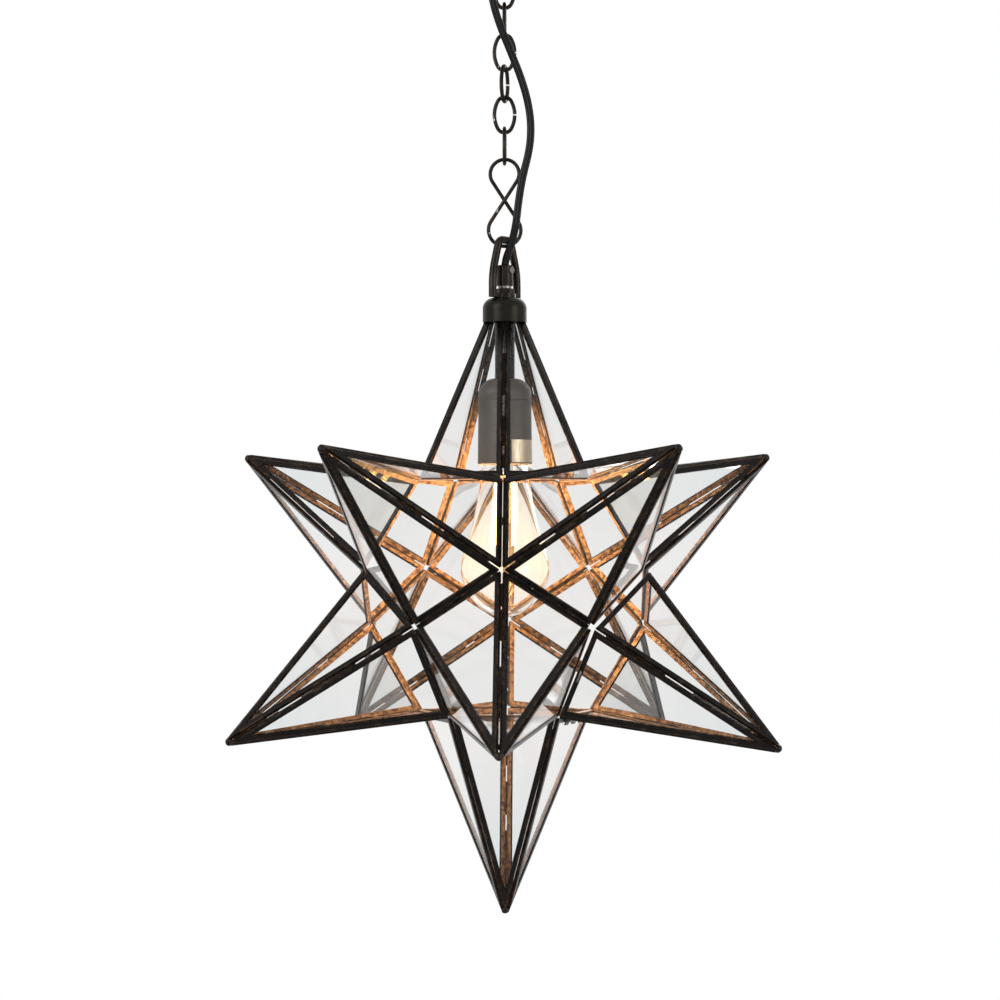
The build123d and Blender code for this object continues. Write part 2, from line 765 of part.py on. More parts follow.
upper_corners = eight_loop(upper_centre_z, upper_radius, 1)
lower_corners = [(x, -y, z) for x, y, z in eight_loop(lower_centre_z, lower_radius, -1)]
# One strand runs down behind from the upper left, the other down in front from the upper right.
back_middle = (Vector(*upper_corners[-1]) + Vector(*lower_corners[0])) * 0.5
front_middle = (Vector(*upper_corners[0]) + Vector(*lower_corners[-1])) * 0.5
eight_halves = [
    ([front_middle, *upper_corners, back_middle], upper_radius),
    ([back_middle, *lower_corners, front_middle], lower_radius),
]
eight_strands = [FilletPolyline(*corners, radius=eight_roundness * size) for corners, size in eight_halves]
with BuildPart() as figure_eight:
    for strand in eight_strands:
        add(wire_along(strand, eight_wire / 2))
save(figure_eight, "figure_eight_link")

# ---------------------------------------------------------------- ceiling loop, stud and canopy
with BuildLine(turned_plane(loop_bottom_z + loop_radius, 90)) as ring:
    CenterArc((0, 0), loop_radius, 0, 360)
stud_top_z = -strap_thickness - 2 * solder_gap
with BuildPart() as ceiling_loop:
    add(wire_along(ring.line, loop_wire / 2))
    with BuildSketch(Plane.XY.offset(canopy_base_z - loop_collar_height)):
        Circle(loop_collar_radius)
    extrude(amount=loop_collar_height - solder_gap)
    with BuildSketch(Plane.XY.offset(canopy_base_z - solder_gap)):
        Circle(stud_radius)
    extrude(amount=stud_top_z - canopy_base_z)
save(ceiling_loop, "ceiling_loop")

grommet_x = grommet_reach * cos(radians(grommet_bearing))
grommet_y = grommet_reach * sin(radians(grommet_bearing))
with BuildPart() as canopy:
    with BuildSketch(Plane.XZ) as canopy_profile:
        round_bar(canopy_radius, canopy_base_z, 0)
        fillet(canopy_profile.vertices().group_by(Axis.X)[-1].sort_by(Axis.Y)[0], canopy_shoulder)
    revolve(axis=Axis.Z)
    offset(amount=-canopy_wall, openings=canopy.faces().sort_by(Axis.Z)[-1])
    with BuildSketch(Plane.XY.offset(canopy_base_z)):
        Circle(stud_radius + thread_clearance)
        with Locations((grommet_x, grommet_y)):
            Circle(grommet_radius + thread_clearance)
    extrude(amount=canopy_wall, mode=Mode.SUBTRACT)
save(canopy, "canopy_cup")

with BuildPart() as strap:
    with BuildSketch(Plane.XY.offset(-strap_thickness)):
        RectangleRounded(strap_length, strap_width, strap_width / 4)
        with GridLocations(strap_hole_spacing, 0, 2, 1):
            Circle(strap_hole_radius, mode=Mode.SUBTRACT)
    extrude(amount=strap_thickness)
    with BuildSketch(Plane.XY.offset(-strap_thickness - strap_nut_height)):
        RegularPolygon(strap_nut_across_flats / 2, 6, major_radius=False)
        Circle(stud_radius + thread_clearance, mode=Mode.SUBTRACT)
    extrude(amount=strap_nut_height)
save(strap, "mounting_strap")

with BuildPart() as grommet:
    with BuildSketch(Plane.XY.offset(canopy_base_z - grommet_flange - solder_gap)):
        with Locations((grommet_x, grommet_y)):
            Circle(grommet_flange_radius)
    extrude(amount=grommet_flange)
    with BuildSketch(Plane.XY.offset(canopy_base_z - grommet_flange)):
        with Locations((grommet_x, grommet_y)):
            Circle(grommet_radius)
    extrude(amount=2 * grommet_flange + canopy_wall)
    with BuildSketch(Plane.XY.offset(canopy_base_z - 2 * grommet_flange)):
        with Locations((grommet_x, grommet_y)):
            Circle(cord_radius + cord_clearance)
    extrude(amount=canopy_height / 2, mode=Mode.SUBTRACT)
save(grommet, "cord_grommet")

with BuildPart() as terminal:
    with BuildSketch(Plane.XY.offset(canopy_base_z + canopy_wall + solder_gap)):
        with Locations((0, terminal_place)):
            RectangleRounded(terminal_length, terminal_width, terminal_width / 6)
    extrude(amount=terminal_height)
    with BuildSketch(Plane.XY.offset(canopy_base_z + canopy_wall + terminal_height)):
        with Locations((0, terminal_place)):
            with GridLocations(terminal_length / 3, 0, 3, 1):
                Circle(terminal_width / 5)
    extrude(amount=-terminal_height / 2, mode=Mode.SUBTRACT)
save(terminal, "terminal_block")

# ---------------------------------------------------------------- cord
# Heights are above the star's centre. The cord leaves the grip, passes in front of the bow,
# swings out to the right of the chain and crosses in front of it to the canopy's grommet.
grip_top_above = grip_top_z - centre_z
grommet_above = canopy_base_z - centre_z
cord_points = [
    (0, 0, grip_top_above - cord_in_grip),
    (0, 0, grip_top_above + cord_above_grip),
    (4.5, -5.2, grip_top_above + 13.5),
    (8.4, -10.0, grip_top_above + 28),
    (10.4, -11.8, grip_top_above + 46),
    (13.6, -11.5, grip_top_above + 65),
    (18.4, -10.5, grip_top_above + 83),
    (19.8, -10.6, grip_top_above + 101),
    (17.4, -11.6, grip_top_above + 119),
    (12.0, -13.6, grip_top_above + 137),
    (4.6, -15.6, grip_top_above + 155),
    (-2.8, -17.0, grip_top_above + 173),
    (-8.4, -18.4, grip_top_above + 191),
    (grommet_x, grommet_y, grip_top_above + 209),
    (grommet_x, grommet_y, grommet_above + canopy_wall),
]
route = [Vector(x, y, centre_z + z) for x, y, z in cord_points]
cord_radii = []
for before, corner, after in zip(route, route[1:], route[2:]):
    run = min((corner - before).length, (after - corner).length)
    turn = (corner - before).get_angle(after - corner)
    cord_radii.append(cord_bend_share * run / tan(radians(turn / 2)))
cord_middle = FilletPolyline(*route, radius=cord_radii)
cord = wire_along(cord_middle, cord_radius)
save_shape(cord, "supply_cord")
print("cord radii", [round(radius, 1) for radius in cord_radii])
print("cord length", round(cord_middle.length, 1))
print("cord volume share", round(cord.volume / (pi * cord_radius**2 * cord_middle.length), 4))

with BuildPart() as lead:
    lead_foot_z = holder_split_z + holder_wall
    with BuildSketch(Plane.XY.offset(lead_foot_z)):
        Circle(lead_radius)
    extrude(amount=route[0].Z - lead_foot_z - solder_gap)
save(lead, "lamp_lead")

# ---------------------------------------------------------------- places of the joints
print("joint loop", round(loop_bottom_z, 3))
print("joint links", [round(top_z - link_rise, 3) for top_z in link_tops])
print("joint eight", round(eight_bottom_z, 3))
print("joint door", [round(value, 4) for value in hinge_axis_point])
print("joint door direction", [round(value, 5) for value in hinge_direction])
print("centre", round(centre_z, 3), "grip top", round(grip_top_z, 3))
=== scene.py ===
# %% [markdown]
# # A glass star pendant
# This notebook dresses a star pendant: a lantern of twelve glass points round a hidden core, hung
# on a chain from a ceiling canopy. The solid model comes in as a fixed frame, so each piece made
# here goes where that model already has it. All lengths are in metres, +Z is up, and the front of
# the star looks along -Y.

# %% Load the frame
import json
import math
import random

import bmesh
import bpy
import numpy as np
from mathutils import Matrix, Vector

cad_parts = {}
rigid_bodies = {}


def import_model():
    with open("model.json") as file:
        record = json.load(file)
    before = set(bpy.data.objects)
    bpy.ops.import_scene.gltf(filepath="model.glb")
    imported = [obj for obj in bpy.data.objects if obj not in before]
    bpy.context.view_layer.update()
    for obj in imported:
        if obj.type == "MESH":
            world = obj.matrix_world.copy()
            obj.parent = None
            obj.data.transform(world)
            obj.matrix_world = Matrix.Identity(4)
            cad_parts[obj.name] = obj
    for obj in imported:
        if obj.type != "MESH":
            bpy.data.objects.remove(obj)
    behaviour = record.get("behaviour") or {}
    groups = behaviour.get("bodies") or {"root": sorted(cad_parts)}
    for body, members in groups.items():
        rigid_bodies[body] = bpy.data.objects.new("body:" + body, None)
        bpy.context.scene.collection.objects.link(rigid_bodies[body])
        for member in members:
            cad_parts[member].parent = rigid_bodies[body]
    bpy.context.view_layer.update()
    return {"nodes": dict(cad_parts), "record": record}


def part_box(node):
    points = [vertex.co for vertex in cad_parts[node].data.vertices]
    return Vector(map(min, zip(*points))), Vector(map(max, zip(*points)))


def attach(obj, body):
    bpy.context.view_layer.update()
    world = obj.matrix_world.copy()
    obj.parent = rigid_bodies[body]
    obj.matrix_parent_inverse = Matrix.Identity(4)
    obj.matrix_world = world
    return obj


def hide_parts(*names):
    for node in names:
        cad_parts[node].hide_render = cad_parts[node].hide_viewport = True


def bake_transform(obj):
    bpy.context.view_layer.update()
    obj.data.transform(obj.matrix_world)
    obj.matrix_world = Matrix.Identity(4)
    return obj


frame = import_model()
nodes = frame["nodes"]
scene = bpy.context.scene

# %% [markdown]
# ## Sizes that the whole lantern shares
# The star is a dodecahedron with a five-sided glass point on each face. Everything about a point
# follows from two sizes, the core's edge and the distance from its middle to a tip, and from the
# section of the folded metal channel that holds the glass.

# %% The lantern's sizes
MM = 0.001
core_edge = 76.5 * MM
apex_radius = 234.5 * MM
channel_width = 3.7 * MM
channel_thickness = 3.0 * MM
channel_web = 0.7 * MM
glass_thickness = 1.8 * MM
glass_clearance = 0.1 * MM
pane_gap = 0.15 * MM
centre = Vector((0, 0, -514.35 * MM))

half_fifth = math.radians(36)
face_distance = core_edge / 2 * math.sqrt((25 + 11 * math.sqrt(5)) / 10)
face_inradius = core_edge / (2 * math.tan(half_fifth))
point_height = apex_radius - face_distance
pane_slope = math.atan(point_height / face_inradius)
pane_height = math.hypot(point_height, face_inradius)
face_tilt = 90 - math.degrees(math.atan(2))
valley_half = math.pi / 2 + math.atan(2) / 2 - pane_slope
ridge_cosine = math.sin(half_fifth) * math.sin(pane_slope)
ridge_half = math.atan(math.sqrt(1 - ridge_cosine**2) / ridge_cosine)
pane_inset = pane_gap + channel_thickness / 2 / math.tan(min(valley_half, ridge_half))
print("point height", round(point_height, 4), "pane height", round(pane_height, 4))


# %% Helpers for every node tree
def feed(node, links):
    """Links sources into a node's sockets. A source is a socket, a node or a tree input's name."""
    tree = node.id_data
    for key, source in dict(links).items():
        if isinstance(source, str):
            source = tree.nodes["Group Input"].outputs[source]
        elif isinstance(source, bpy.types.Node):
            source = source.outputs[0]
        tree.links.new(source, node.inputs[key])


def add_node(tree, kind, settings=(), values=(), links=()):
    """A node with its settings, its sockets' values and what is linked into its sockets."""
    node = tree.nodes.new(kind)
    for key, value in dict(settings).items():
        setattr(node, key, value)
    for key, value in dict(values).items():
        node.inputs[key].default_value = value
    feed(node, links)
    return node


def maths(tree, operation, links, values=(), kind="ShaderNodeMath"):
    """A node that works out a number. Another kind works out a vector or compares."""
    return add_node(tree, kind, {"operation": operation}, values, links)


def linked_object(name, data):
    """A new object in the scene."""
    thing = bpy.data.objects.new(name, data)
    scene.collection.objects.link(thing)
    return thing


# %% [markdown]
# ## Camera
# The photograph was taken from almost straight in front and a touch below the star's middle, from
# about two metres. Its angle and its lens were found by matching the star's tips and corners.

# %% Place the camera
azimuth = math.radians(1.30)
elevation = math.radians(-0.83)
roll = math.radians(-0.06)
camera_distance = 27.95 * core_edge
aim_right = 0.048 * core_edge
aim_up = -0.917 * core_edge

level_back = Vector((math.sin(azimuth), -math.cos(azimuth), 0))
back = level_back * math.cos(elevation) + Vector((0, 0, math.sin(elevation)))
right = Vector((math.cos(azimuth), math.sin(azimuth), 0))
up = back.cross(right)
camera_data = bpy.data.cameras.new("camera")
camera_data.lens = 105.07
camera_data.sensor_width = 36
camera_data.clip_end = 50
camera = linked_object("camera", camera_data)
turn = Matrix((right, up, back)).transposed().to_4x4() @ Matrix.Rotation(roll, 4, "Z")
place = centre - aim_right * right - aim_up * up + camera_distance * back
camera.matrix_world = Matrix.Translation(place) @ turn
scene.camera = camera
print("camera", [round(value, 3) for value in place])

# %% [markdown]
# ## Light and background
# The product was shot on pure white. The world is white where the camera, a reflection or the
# glass looks at it, and a plain grey for the light that it throws, so the dark metal keeps its
# depth. Large soft lamps give the channels their long highlights.

# %% World, floor and lamps
WHITE = (1, 1, 1, 1)


def white_where_seen(tree, thrown, white, out):
    """White for camera, glossy and transmission rays, and the thrown shader for all others."""
    path = add_node(tree, "ShaderNodeLightPath")
    seen = path.outputs["Is Camera Ray"]
    for kind in ("Is Glossy Ray", "Is Transmission Ray"):
        seen = maths(tree, "MAXIMUM", {0: seen, 1: path.outputs[kind]})
    mix = add_node(tree, "ShaderNodeMixShader", links={0: seen, 1: thrown, 2: white})
    feed(out, {0: mix})


world = bpy.data.worlds.new("studio")
scene.world = world
world.use_nodes = True
world.node_tree.nodes.clear()
thrown_light = {"Color": (0.93, 0.96, 1.0, 1), "Strength": 0.4}
white_where_seen(
    world.node_tree,
    add_node(world.node_tree, "ShaderNodeBackground", values=thrown_light),
    add_node(world.node_tree, "ShaderNodeBackground", values={"Color": WHITE}),
    add_node(world.node_tree, "ShaderNodeOutputWorld"),
)

floor_material = bpy.data.materials.new("floor")
floor_material.use_nodes = True
floor_nodes = floor_material.node_tree.nodes
floor_nodes["Principled BSDF"].inputs["Base Color"].default_value = (0.9, 0.9, 0.9, 1)
floor_nodes["Principled BSDF"].inputs["Roughness"].default_value = 0.9
white_where_seen(
    floor_material.node_tree,
    floor_nodes["Principled BSDF"],
    add_node(floor_material.node_tree, "ShaderNodeEmission", values={"Color": WHITE}),
    floor_nodes["Material Output"],
)
floor_half, floor_z = 4.0, -1.25
floor_mesh = bpy.data.meshes.new("floor")
signs = ((-1, -1), (1, -1), (1, 1), (-1, 1))
floor_corners = [(x * floor_half, y * floor_half, floor_z) for x, y in signs]
floor_mesh.from_pydata(floor_corners, [], [(0, 1, 2, 3)])
floor_mesh.materials.append(floor_material)
linked_object("floor", floor_mesh)


def soft_lamp(name, place, size, power):
    """A soft lamp of some width and height at a place, facing the middle of the star."""
    data = bpy.data.lights.new(name, "AREA")
    data.shape = "RECTANGLE"
    data.size, data.size_y = size
    data.energy = power
    lamp = linked_object(name, data)
    lamp.location = place
    lamp.rotation_euler = (centre - Vector(place)).to_track_quat("-Z", "Y").to_euler()


soft_lamp("key", (-1.6, -1.7, 0.4), (1.0, 1.7), 40)
soft_lamp("fill", (1.9, -1.3, -0.2), (0.9, 1.7), 22)
soft_lamp("rim", (0.6, 1.9, 0.2), (1.2, 1.2), 10)
scene.view_settings.view_transform = "Standard"
scene.cycles.max_bounces = 24
scene.cycles.transmission_bounces = 22
scene.cycles.transparent_max_bounces = 24

# %% [markdown]
# ## Finishes
# Every finish is a small node graph on the Principled shader. The patterns read Object
# coordinates, so they stay on the metal from any side, and each number or colour that is the same
# all over is set on the shader's own socket.

# %% Helpers for the finishes
def new_material(name, colour, roughness, metallic=0.0, specular=0.5):
    """A material with its shader's constants set, and its node tree."""
    material = bpy.data.materials.new(name)
    material.use_nodes = True
    shader = material.node_tree.nodes["Principled BSDF"]
    shader.inputs["Base Color"].default_value = (*colour, 1)
    shader.inputs["Roughness"].default_value = roughness
    shader.inputs["Metallic"].default_value = metallic
    shader.inputs["Specular IOR Level"].default_value = specular
    return material, material.node_tree, shader


def object_place(tree):
    """The Object coordinates of a spot."""
    return add_node(tree, "ShaderNodeTexCoord").outputs["Object"]


def speckle(tree, scale, detail=4.0, roughness=0.6, stretch=(1, 1, 1)):
    """A noise pattern on Object coordinates. The scale is in features per metre."""
    links = {"Vector": object_place(tree)}
    mapping = add_node(tree, "ShaderNodeMapping", values={"Scale": stretch}, links=links)
    values = {"Scale": scale, "Detail": detail, "Roughness": roughness}
    return add_node(tree, "ShaderNodeTexNoise", values=values, links={"Vector": mapping})


def step_between(tree, value, low, high, to_low=0.0, to_high=1.0):
    """The value, spread from to_low to to_high as it goes from low to high."""
    values = {"From Min": low, "From Max": high, "To Min": to_low, "To Max": to_high}
    return add_node(tree, "ShaderNodeMapRange", values=values, links={"Value": value})


def patches(tree, scale, detail, low, high, to_low=0.0, to_high=1.0):
    """Noise with its middle levels spread out, so that it falls into patches."""
    return step_between(tree, speckle(tree, scale, detail), low, high, to_low, to_high)


def two_colours(tree, factor, first, second):
    """A mix of two colours. Either may be a colour or the output of another mix."""
    mix = add_node(tree, "ShaderNodeMix", {"data_type": "RGBA"}, links={0: factor})
    for key, colour in ((6, first), (7, second)):
        if isinstance(colour, tuple):
            mix.inputs[key].default_value = (*colour, 1)
        else:
            feed(mix, {key: colour})
    return mix.outputs[2]


def coloured(shader, factor, first, second, socket="Base Color"):
    """Gives a shader a mix of two colours."""
    feed(shader, {socket: two_colours(shader.id_data, factor, first, second)})


def product(tree, first, second):
    """Two patterns multiplied."""
    return maths(tree, "MULTIPLY", {0: first, 1: second})


def mesh_mark(tree, name):
    """A mark that a mesh carries on its points: "edge" where it's rubbed, "inner" inside."""
    return add_node(tree, "ShaderNodeAttribute", {"attribute_name": name}).outputs["Fac"]


def bumped(shader, height, strength, depth):
    """Raises the surface a little by a pattern."""
    values, links = {"Strength": strength, "Distance": depth}, {"Height": height}
    feed(shader, {"Normal": add_node(shader.id_data, "ShaderNodeBump", (), values, links)})


# %% [markdown]
# ### Patinated channel
# The channel is brass strip that was soldered and then blackened. Chemical patina takes unevenly:
# outside it's near black, with faint brown clouds, and it's rubbed thin along the folded edges.
# Inside the lantern the channel is painted a mottled copper brown: a brown tone, made brighter as
# painted light from the bulb on the inner faces. Two sizes of noise give the clouds and the
# mottling. Marks that the mesh carries say where it's rubbed and which side is inside.

# %% Patina, solder and dark bronze
def patina(name, dark, brown, inside, rubbed, cloud, gloss, metallic=0.6, specular=0.22):
    """Blackened metal with brown clouds, a rubbed colour on edges and a pair of inside colours."""
    material, tree, shader = new_material(name, dark, 0.4, metallic, specular)
    mottle = patches(tree, cloud * 9, 5, 0.35, 0.7)
    clouds = product(tree, patches(tree, cloud, 3, 0.46, 0.72), mottle)
    base = two_colours(tree, clouds, dark, brown)
    # Painted light: the inside pair is a brown tone made brighter as the bulb's light on the inner
    # faces.
    inner_tone_and_painted_glow = two_colours(tree, patches(tree, cloud * 6, 5, 0.40, 0.66), *inside)
    base = two_colours(tree, mesh_mark(tree, "inner"), base, inner_tone_and_painted_glow)
    rub = product(tree, mesh_mark(tree, "edge"), patches(tree, cloud * 2.5, 4, 0.5, 0.7))
    coloured(shader, rub, base, rubbed)
    feed(shader, {"Roughness": step_between(tree, mottle, 0, 1, *gloss)})
    bumped(shader, speckle(tree, cloud * 14, 6), 0.2, 0.0002)
    return material


# The copper brown inside colour is a brown tone, brightened as painted light from the bulb.
black, copper_and_painted_glow = (0.0055, 0.0045, 0.0040), (0.19, 0.112, 0.062)
bronze, bronze_rubbed = (0.010, 0.009, 0.0065), (0.1, 0.08, 0.06)
materials = {}
# Name: dark, brown, inside pair, rubbed, clouds in a metre, gloss range, metallic, specular.
for name, *looks in (
    ("channel_black", black, (0.018, 0.0105, 0.007), ((0.028, 0.015, 0.009), copper_and_painted_glow),
     (0.06, 0.036, 0.022), 55, (0.24, 0.44)),
    ("solder_dark", (0.008, 0.007, 0.006), (0.05, 0.034, 0.024), (black, copper_and_painted_glow),
     bronze_rubbed, 140, (0.2, 0.4)),
    ("cap_bronze", bronze, (0.022, 0.018, 0.012), (black, copper_and_painted_glow),
     bronze_rubbed, 90, (0.3, 0.44), 0.5, 0.12),
    ("canopy_bronze", bronze, (0.024, 0.019, 0.013), (black, copper_and_painted_glow),
     bronze_rubbed, 45, (0.3, 0.44), 0.5, 0.12),
):
    materials[name] = patina(name, *looks)
print("patinas", len(materials))

# %% [markdown]
# ### Chain
# The links, the figure-eight and the bow are wire and casting with a glossy dark bronze lacquer.
# Where they have rubbed on each other the lacquer is gone and bare steel shows as small silvery
# patches, so a third noise with a hard threshold lays bright spots over the brown.

# %% Lacquered chain bronze, and small metals
chain, tree, shader = new_material("chain_bronze", (0.01, 0.008, 0.007), 0.3, 0.6, 0.22)
tone = patches(tree, 70, 4, 0.38, 0.68)
lacquer = two_colours(tree, tone, (0.006, 0.005, 0.004), (0.026, 0.018, 0.013))
bare = product(tree, patches(tree, 240, 5, 0.58, 0.64), patches(tree, 34, 2, 0.56, 0.62))
coloured(shader, bare, lacquer, (0.55, 0.53, 0.50))
feed(shader, {"Roughness": patches(tree, 300, 4, 0.3, 0.75, 0.2, 0.42)})
bumped(shader, speckle(tree, 500, 5), 0.2, 0.0002)
materials["chain_bronze"] = chain

# Name: colour, roughness, grains in a metre, stretch of the grain.
for name, colour, roughness, grain, stretch in (
    ("screw_steel", (0.20, 0.19, 0.18), 0.36, 600, (1, 1, 1)),
    ("shell_brass", (0.78, 0.56, 0.27), 0.24, 400, (1, 1, 1)),
    ("bulb_cap_metal", (0.70, 0.68, 0.64), 0.25, 500, (1, 1, 1)),
    ("strap_zinc", (0.62, 0.63, 0.64), 0.36, 250, (1, 1, 1)),
    ("label_foil", (0.42, 0.37, 0.28), 0.42, 900, (1, 1, 0.12)),
):
    # Bare metal has fine wear in its colour and its gloss.
    material, tree, shader = new_material(name, colour, roughness, 1.0)
    wear = speckle(tree, grain, 5, 0.65, stretch)
    dull = tuple(0.72 * part for part in colour)
    coloured(shader, step_between(tree, wear, 0.35, 0.7), colour, dull)
    rough = step_between(tree, wear, 0.3, 0.75, roughness * 0.8, roughness * 1.35)
    feed(shader, {"Roughness": rough})
    bumped(shader, wear, 0.12, 0.0001)
    materials[name] = material
print("metals", sorted(materials))

# %% [markdown]
# ### Mouldings and the cord
# The lampholder is phenolic moulding with a fine matte grain. The cord is smooth glossy plastic,
# a little uneven along its length from the extruder, which shows as a soft broken highlight.

# %% Plastics and rubber
# Name: two tones, roughness, grains in a metre, depth of the grain, specular.
for name, light, dark, roughness, grain, depth, specular in (
    ("holder_plastic", (0.050, 0.041, 0.033), (0.034, 0.028, 0.023), 0.5, 1400, 0.00004, 0.25),
    ("cord_black", (0.0035, 0.003, 0.003), (0.006, 0.005, 0.0045), 0.15, 260, 0.00003, 0.16),
    ("grommet_rubber", (0.022, 0.022, 0.022), (0.03, 0.03, 0.03), 0.7, 1200, 0.0001, 0.5),
    ("terminal_plastic", (0.82, 0.81, 0.77), (0.76, 0.75, 0.70), 0.45, 900, 0.0001, 0.5),
):
    # Moulded plastic has a grain and a slight cloudiness.
    material, tree, shader = new_material(name, light, roughness, 0.0, specular)
    coloured(shader, patches(tree, grain / 12, 3, 0.35, 0.7), light, dark)
    fine = speckle(tree, grain, 4)
    rough = step_between(tree, fine, 0.3, 0.7, roughness * 0.85, min(1, roughness * 1.2))
    feed(shader, {"Roughness": rough})
    bumped(shader, fine, 0.3, depth)
    materials[name] = material
print("mouldings done")


# %% [markdown]
# ### Glass
# The panes are clear drawn sheet, about two millimetres thick. Sheet like this takes a faint grey
# from each pane that the eye looks through, and its slow waves bend the reflections. The panes are
# also painted warmer near the middle as bulb light, and greyer at the tips as painted shade. The
# bulb's glass is thinner and slightly amber, with a painted glow beside the rods. Light has to
# reach the channels from the bulb through both, so their shadows are clear.

# %% Pane glass and bulb glass
def clear_glass(name, tint, ior, wave, depth):
    """Clear glass whose surface waves slowly, and which throws no shadow."""
    materials[name], tree, shader = new_material(name, tint, 0.015)
    shader.inputs["Transmission Weight"].default_value = 1.0
    shader.inputs["IOR"].default_value = ior
    bumped(shader, speckle(tree, wave, 1, 0.3), 0.5, depth)
    path = add_node(tree, "ShaderNodeLightPath")
    clear = add_node(tree, "ShaderNodeBsdfTransparent", values={"Color": (*tint, 1)})
    links = {0: path.outputs["Is Shadow Ray"], 1: shader, 2: clear}
    feed(tree.nodes["Material Output"], {0: add_node(tree, "ShaderNodeMixShader", links=links)})
    return tree, shader


tree, shader = clear_glass("clear_glass", (0.89, 0.90, 0.90), 1.2, 26, 0.0004)
# Painted light and shade: a pane is painted warmer near the middle, as the bulb's light, and greyer
# far out in a point, as shade where the eye meets it at a flat angle.
distance = maths(tree, "DISTANCE", {0: object_place(tree)}, {1: centre}, "ShaderNodeVectorMath")
painted_warm_to_grey = step_between(tree, distance.outputs["Value"], 90 * MM, 190 * MM)
coloured(shader, painted_warm_to_grey, (0.925, 0.912, 0.90), (0.865, 0.882, 0.882))

tree, shader = clear_glass("bulb_glass", (1.0, 0.975, 0.93), 1.3, 30, 0.0002)
# Painted glow: beside the rods the glass is painted amber and given a faint emission, as the rods'
# light in it, and above and below them it stays clear.
height = add_node(tree, "ShaderNodeSeparateXYZ", links={0: object_place(tree)}).outputs["Z"]
above = step_between(tree, height, centre.z - 14 * MM, centre.z + 22 * MM)
below = step_between(tree, height, centre.z + 40 * MM, centre.z + 84 * MM, 1.0, 0.0)
painted_glow_band = product(tree, above, below)
coloured(shader, painted_glow_band, (1.0, 0.992, 0.98), (1.0, 0.978, 0.93))
coloured(shader, painted_glow_band, (0.0, 0.0, 0.0), (0.10, 0.062, 0.022), "Emission Color")
shader.inputs["Emission Strength"].default_value = 1.0

materials["filament_glow"], tree, shader = new_material("filament_glow", (1.0, 0.72, 0.35), 0.6)
glow = patches(tree, 900, 3, 0.3, 0.7)
coloured(shader, glow, (1.0, 0.55, 0.14), (1.0, 0.66, 0.22), "Emission Color")
shader.inputs["Emission Strength"].default_value = 55.0
print("glass and filament done")

# %% [markdown]
# ## One pane
# A pane is a triangle of glass in a channel that is folded round its edge and mitred at its three
# corners. The channel is a section carried round the triangle. Moving a side in by some distance
# draws a triangle's corners towards the middle of its inner circle, so one small function places
# every point of the section at all three corners.

# %% The channel and the glass of one pane, lying flat
pane_corners = [Vector((-core_edge / 2, 0)), Vector((core_edge / 2, 0)), Vector((0, pane_height))]
pane_sides = [(pane_corners[(k + 1) % 3] - pane_corners[(k + 2) % 3]).length for k in range(3)]
inner_middle = sum((c * s for c, s in zip(pane_corners, pane_sides)), Vector((0, 0)))
inner_middle /= sum(pane_sides)
inner_radius = inner_middle.y


def drawn_in(distance):
    """The pane's three corners, with its sides moved in by a distance."""
    share = 1 - distance / inner_radius
    return [inner_middle + (corner - inner_middle) * share for corner in pane_corners]


def skinned(work, name, rings, closed=False):
    """A mesh of rings of vertices, skinned in order. The last joins the first, or both get caps."""
    for here, there in zip(rings, rings[1:] + rings[:1] if closed else rings[1:]):
        for k in range(len(here)):
            n = (k + 1) % len(here)
            corners = list(dict.fromkeys((here[k], here[n], there[n], there[k])))
            if len(corners) > 2:
                work.faces.new(corners)
    if not closed:
        work.faces.new(rings[0][::-1])
        work.faces.new(rings[-1])
    bmesh.ops.recalc_face_normals(work, faces=work.faces)
    mesh = bpy.data.meshes.new(name)
    work.to_mesh(mesh)
    work.free()
    return mesh


def carried_round(name, section, closed=True):
    """A mesh of a section, as (distance in, height, edge mark), carried round the pane."""
    work = bmesh.new()
    mark = work.verts.layers.float.new("edge")
    inner_mark = work.verts.layers.float.new("inner")
    rings = []
    for distance, height, edge in section:
        rings.append([work.verts.new((*corner, height)) for corner in drawn_in(distance)])
        for vertex in rings[-1]:
            vertex[mark] = edge
            vertex[inner_mark] = float(height < 0)
    return skinned(work, name, rings, closed)


# The sheets of channel lie closer together than the solids, which keep a working gap.
tighter = 0.12 * MM
fold, lip, flat_run = 0.42 * MM, 0.3 * MM, 1.6 * MM


def rounded_section():
    """The folded channel: a soft outer fold, and two thinner lips with the pane's slot between."""
    outer, inner = pane_inset - tighter, pane_inset + channel_width
    half, slot = channel_thickness / 2, glass_thickness / 2 + glass_clearance
    folds = []
    for height, start in ((half - fold, 90), (fold - half, 180)):
        for step in range(5):
            angle = math.radians(start + 90 * step / 4)
            spot = (outer + fold + fold * math.cos(angle), height + fold * math.sin(angle), 1.0)
            folds.append(spot)
    # An edge mark of 1 is a rubbed corner, and 0 is a flat face.
    bottom = [
        (inner - lip, -half, 0.6),
        (inner - lip * 0.3, -half + lip * 0.3, 1.0),
        (inner, -half + lip, 0.6),
    ]
    top = [(across, -up, edge) for across, up, edge in reversed(bottom)]
    return [
        *folds[:5],
        (outer, 0.0, 0.55),
        *folds[5:],
        (outer + fold + flat_run, -half, 0.0),
        (inner - 2 * lip, -half, 0.0),
        *bottom,
        (inner, -slot, 0.2),
        (outer + channel_web, -slot, 0.0),
        (outer + channel_web, slot, 0.0),
        (inner, slot, 0.2),
        *top,
        (inner - 2 * lip, half, 0.0),
        (outer + fold + flat_run, half, 0.0),
    ]


channel_mesh = carried_round("channel", rounded_section())
pane_edge = pane_inset + channel_web + 2 * glass_clearance
pane_section = [(pane_edge, side * glass_thickness / 2, 0) for side in (-1, 1)]
pane_mesh = carried_round("pane", pane_section, closed=False)
print("channel faces", len(channel_mesh.polygons), "pane faces", len(pane_mesh.polygons))

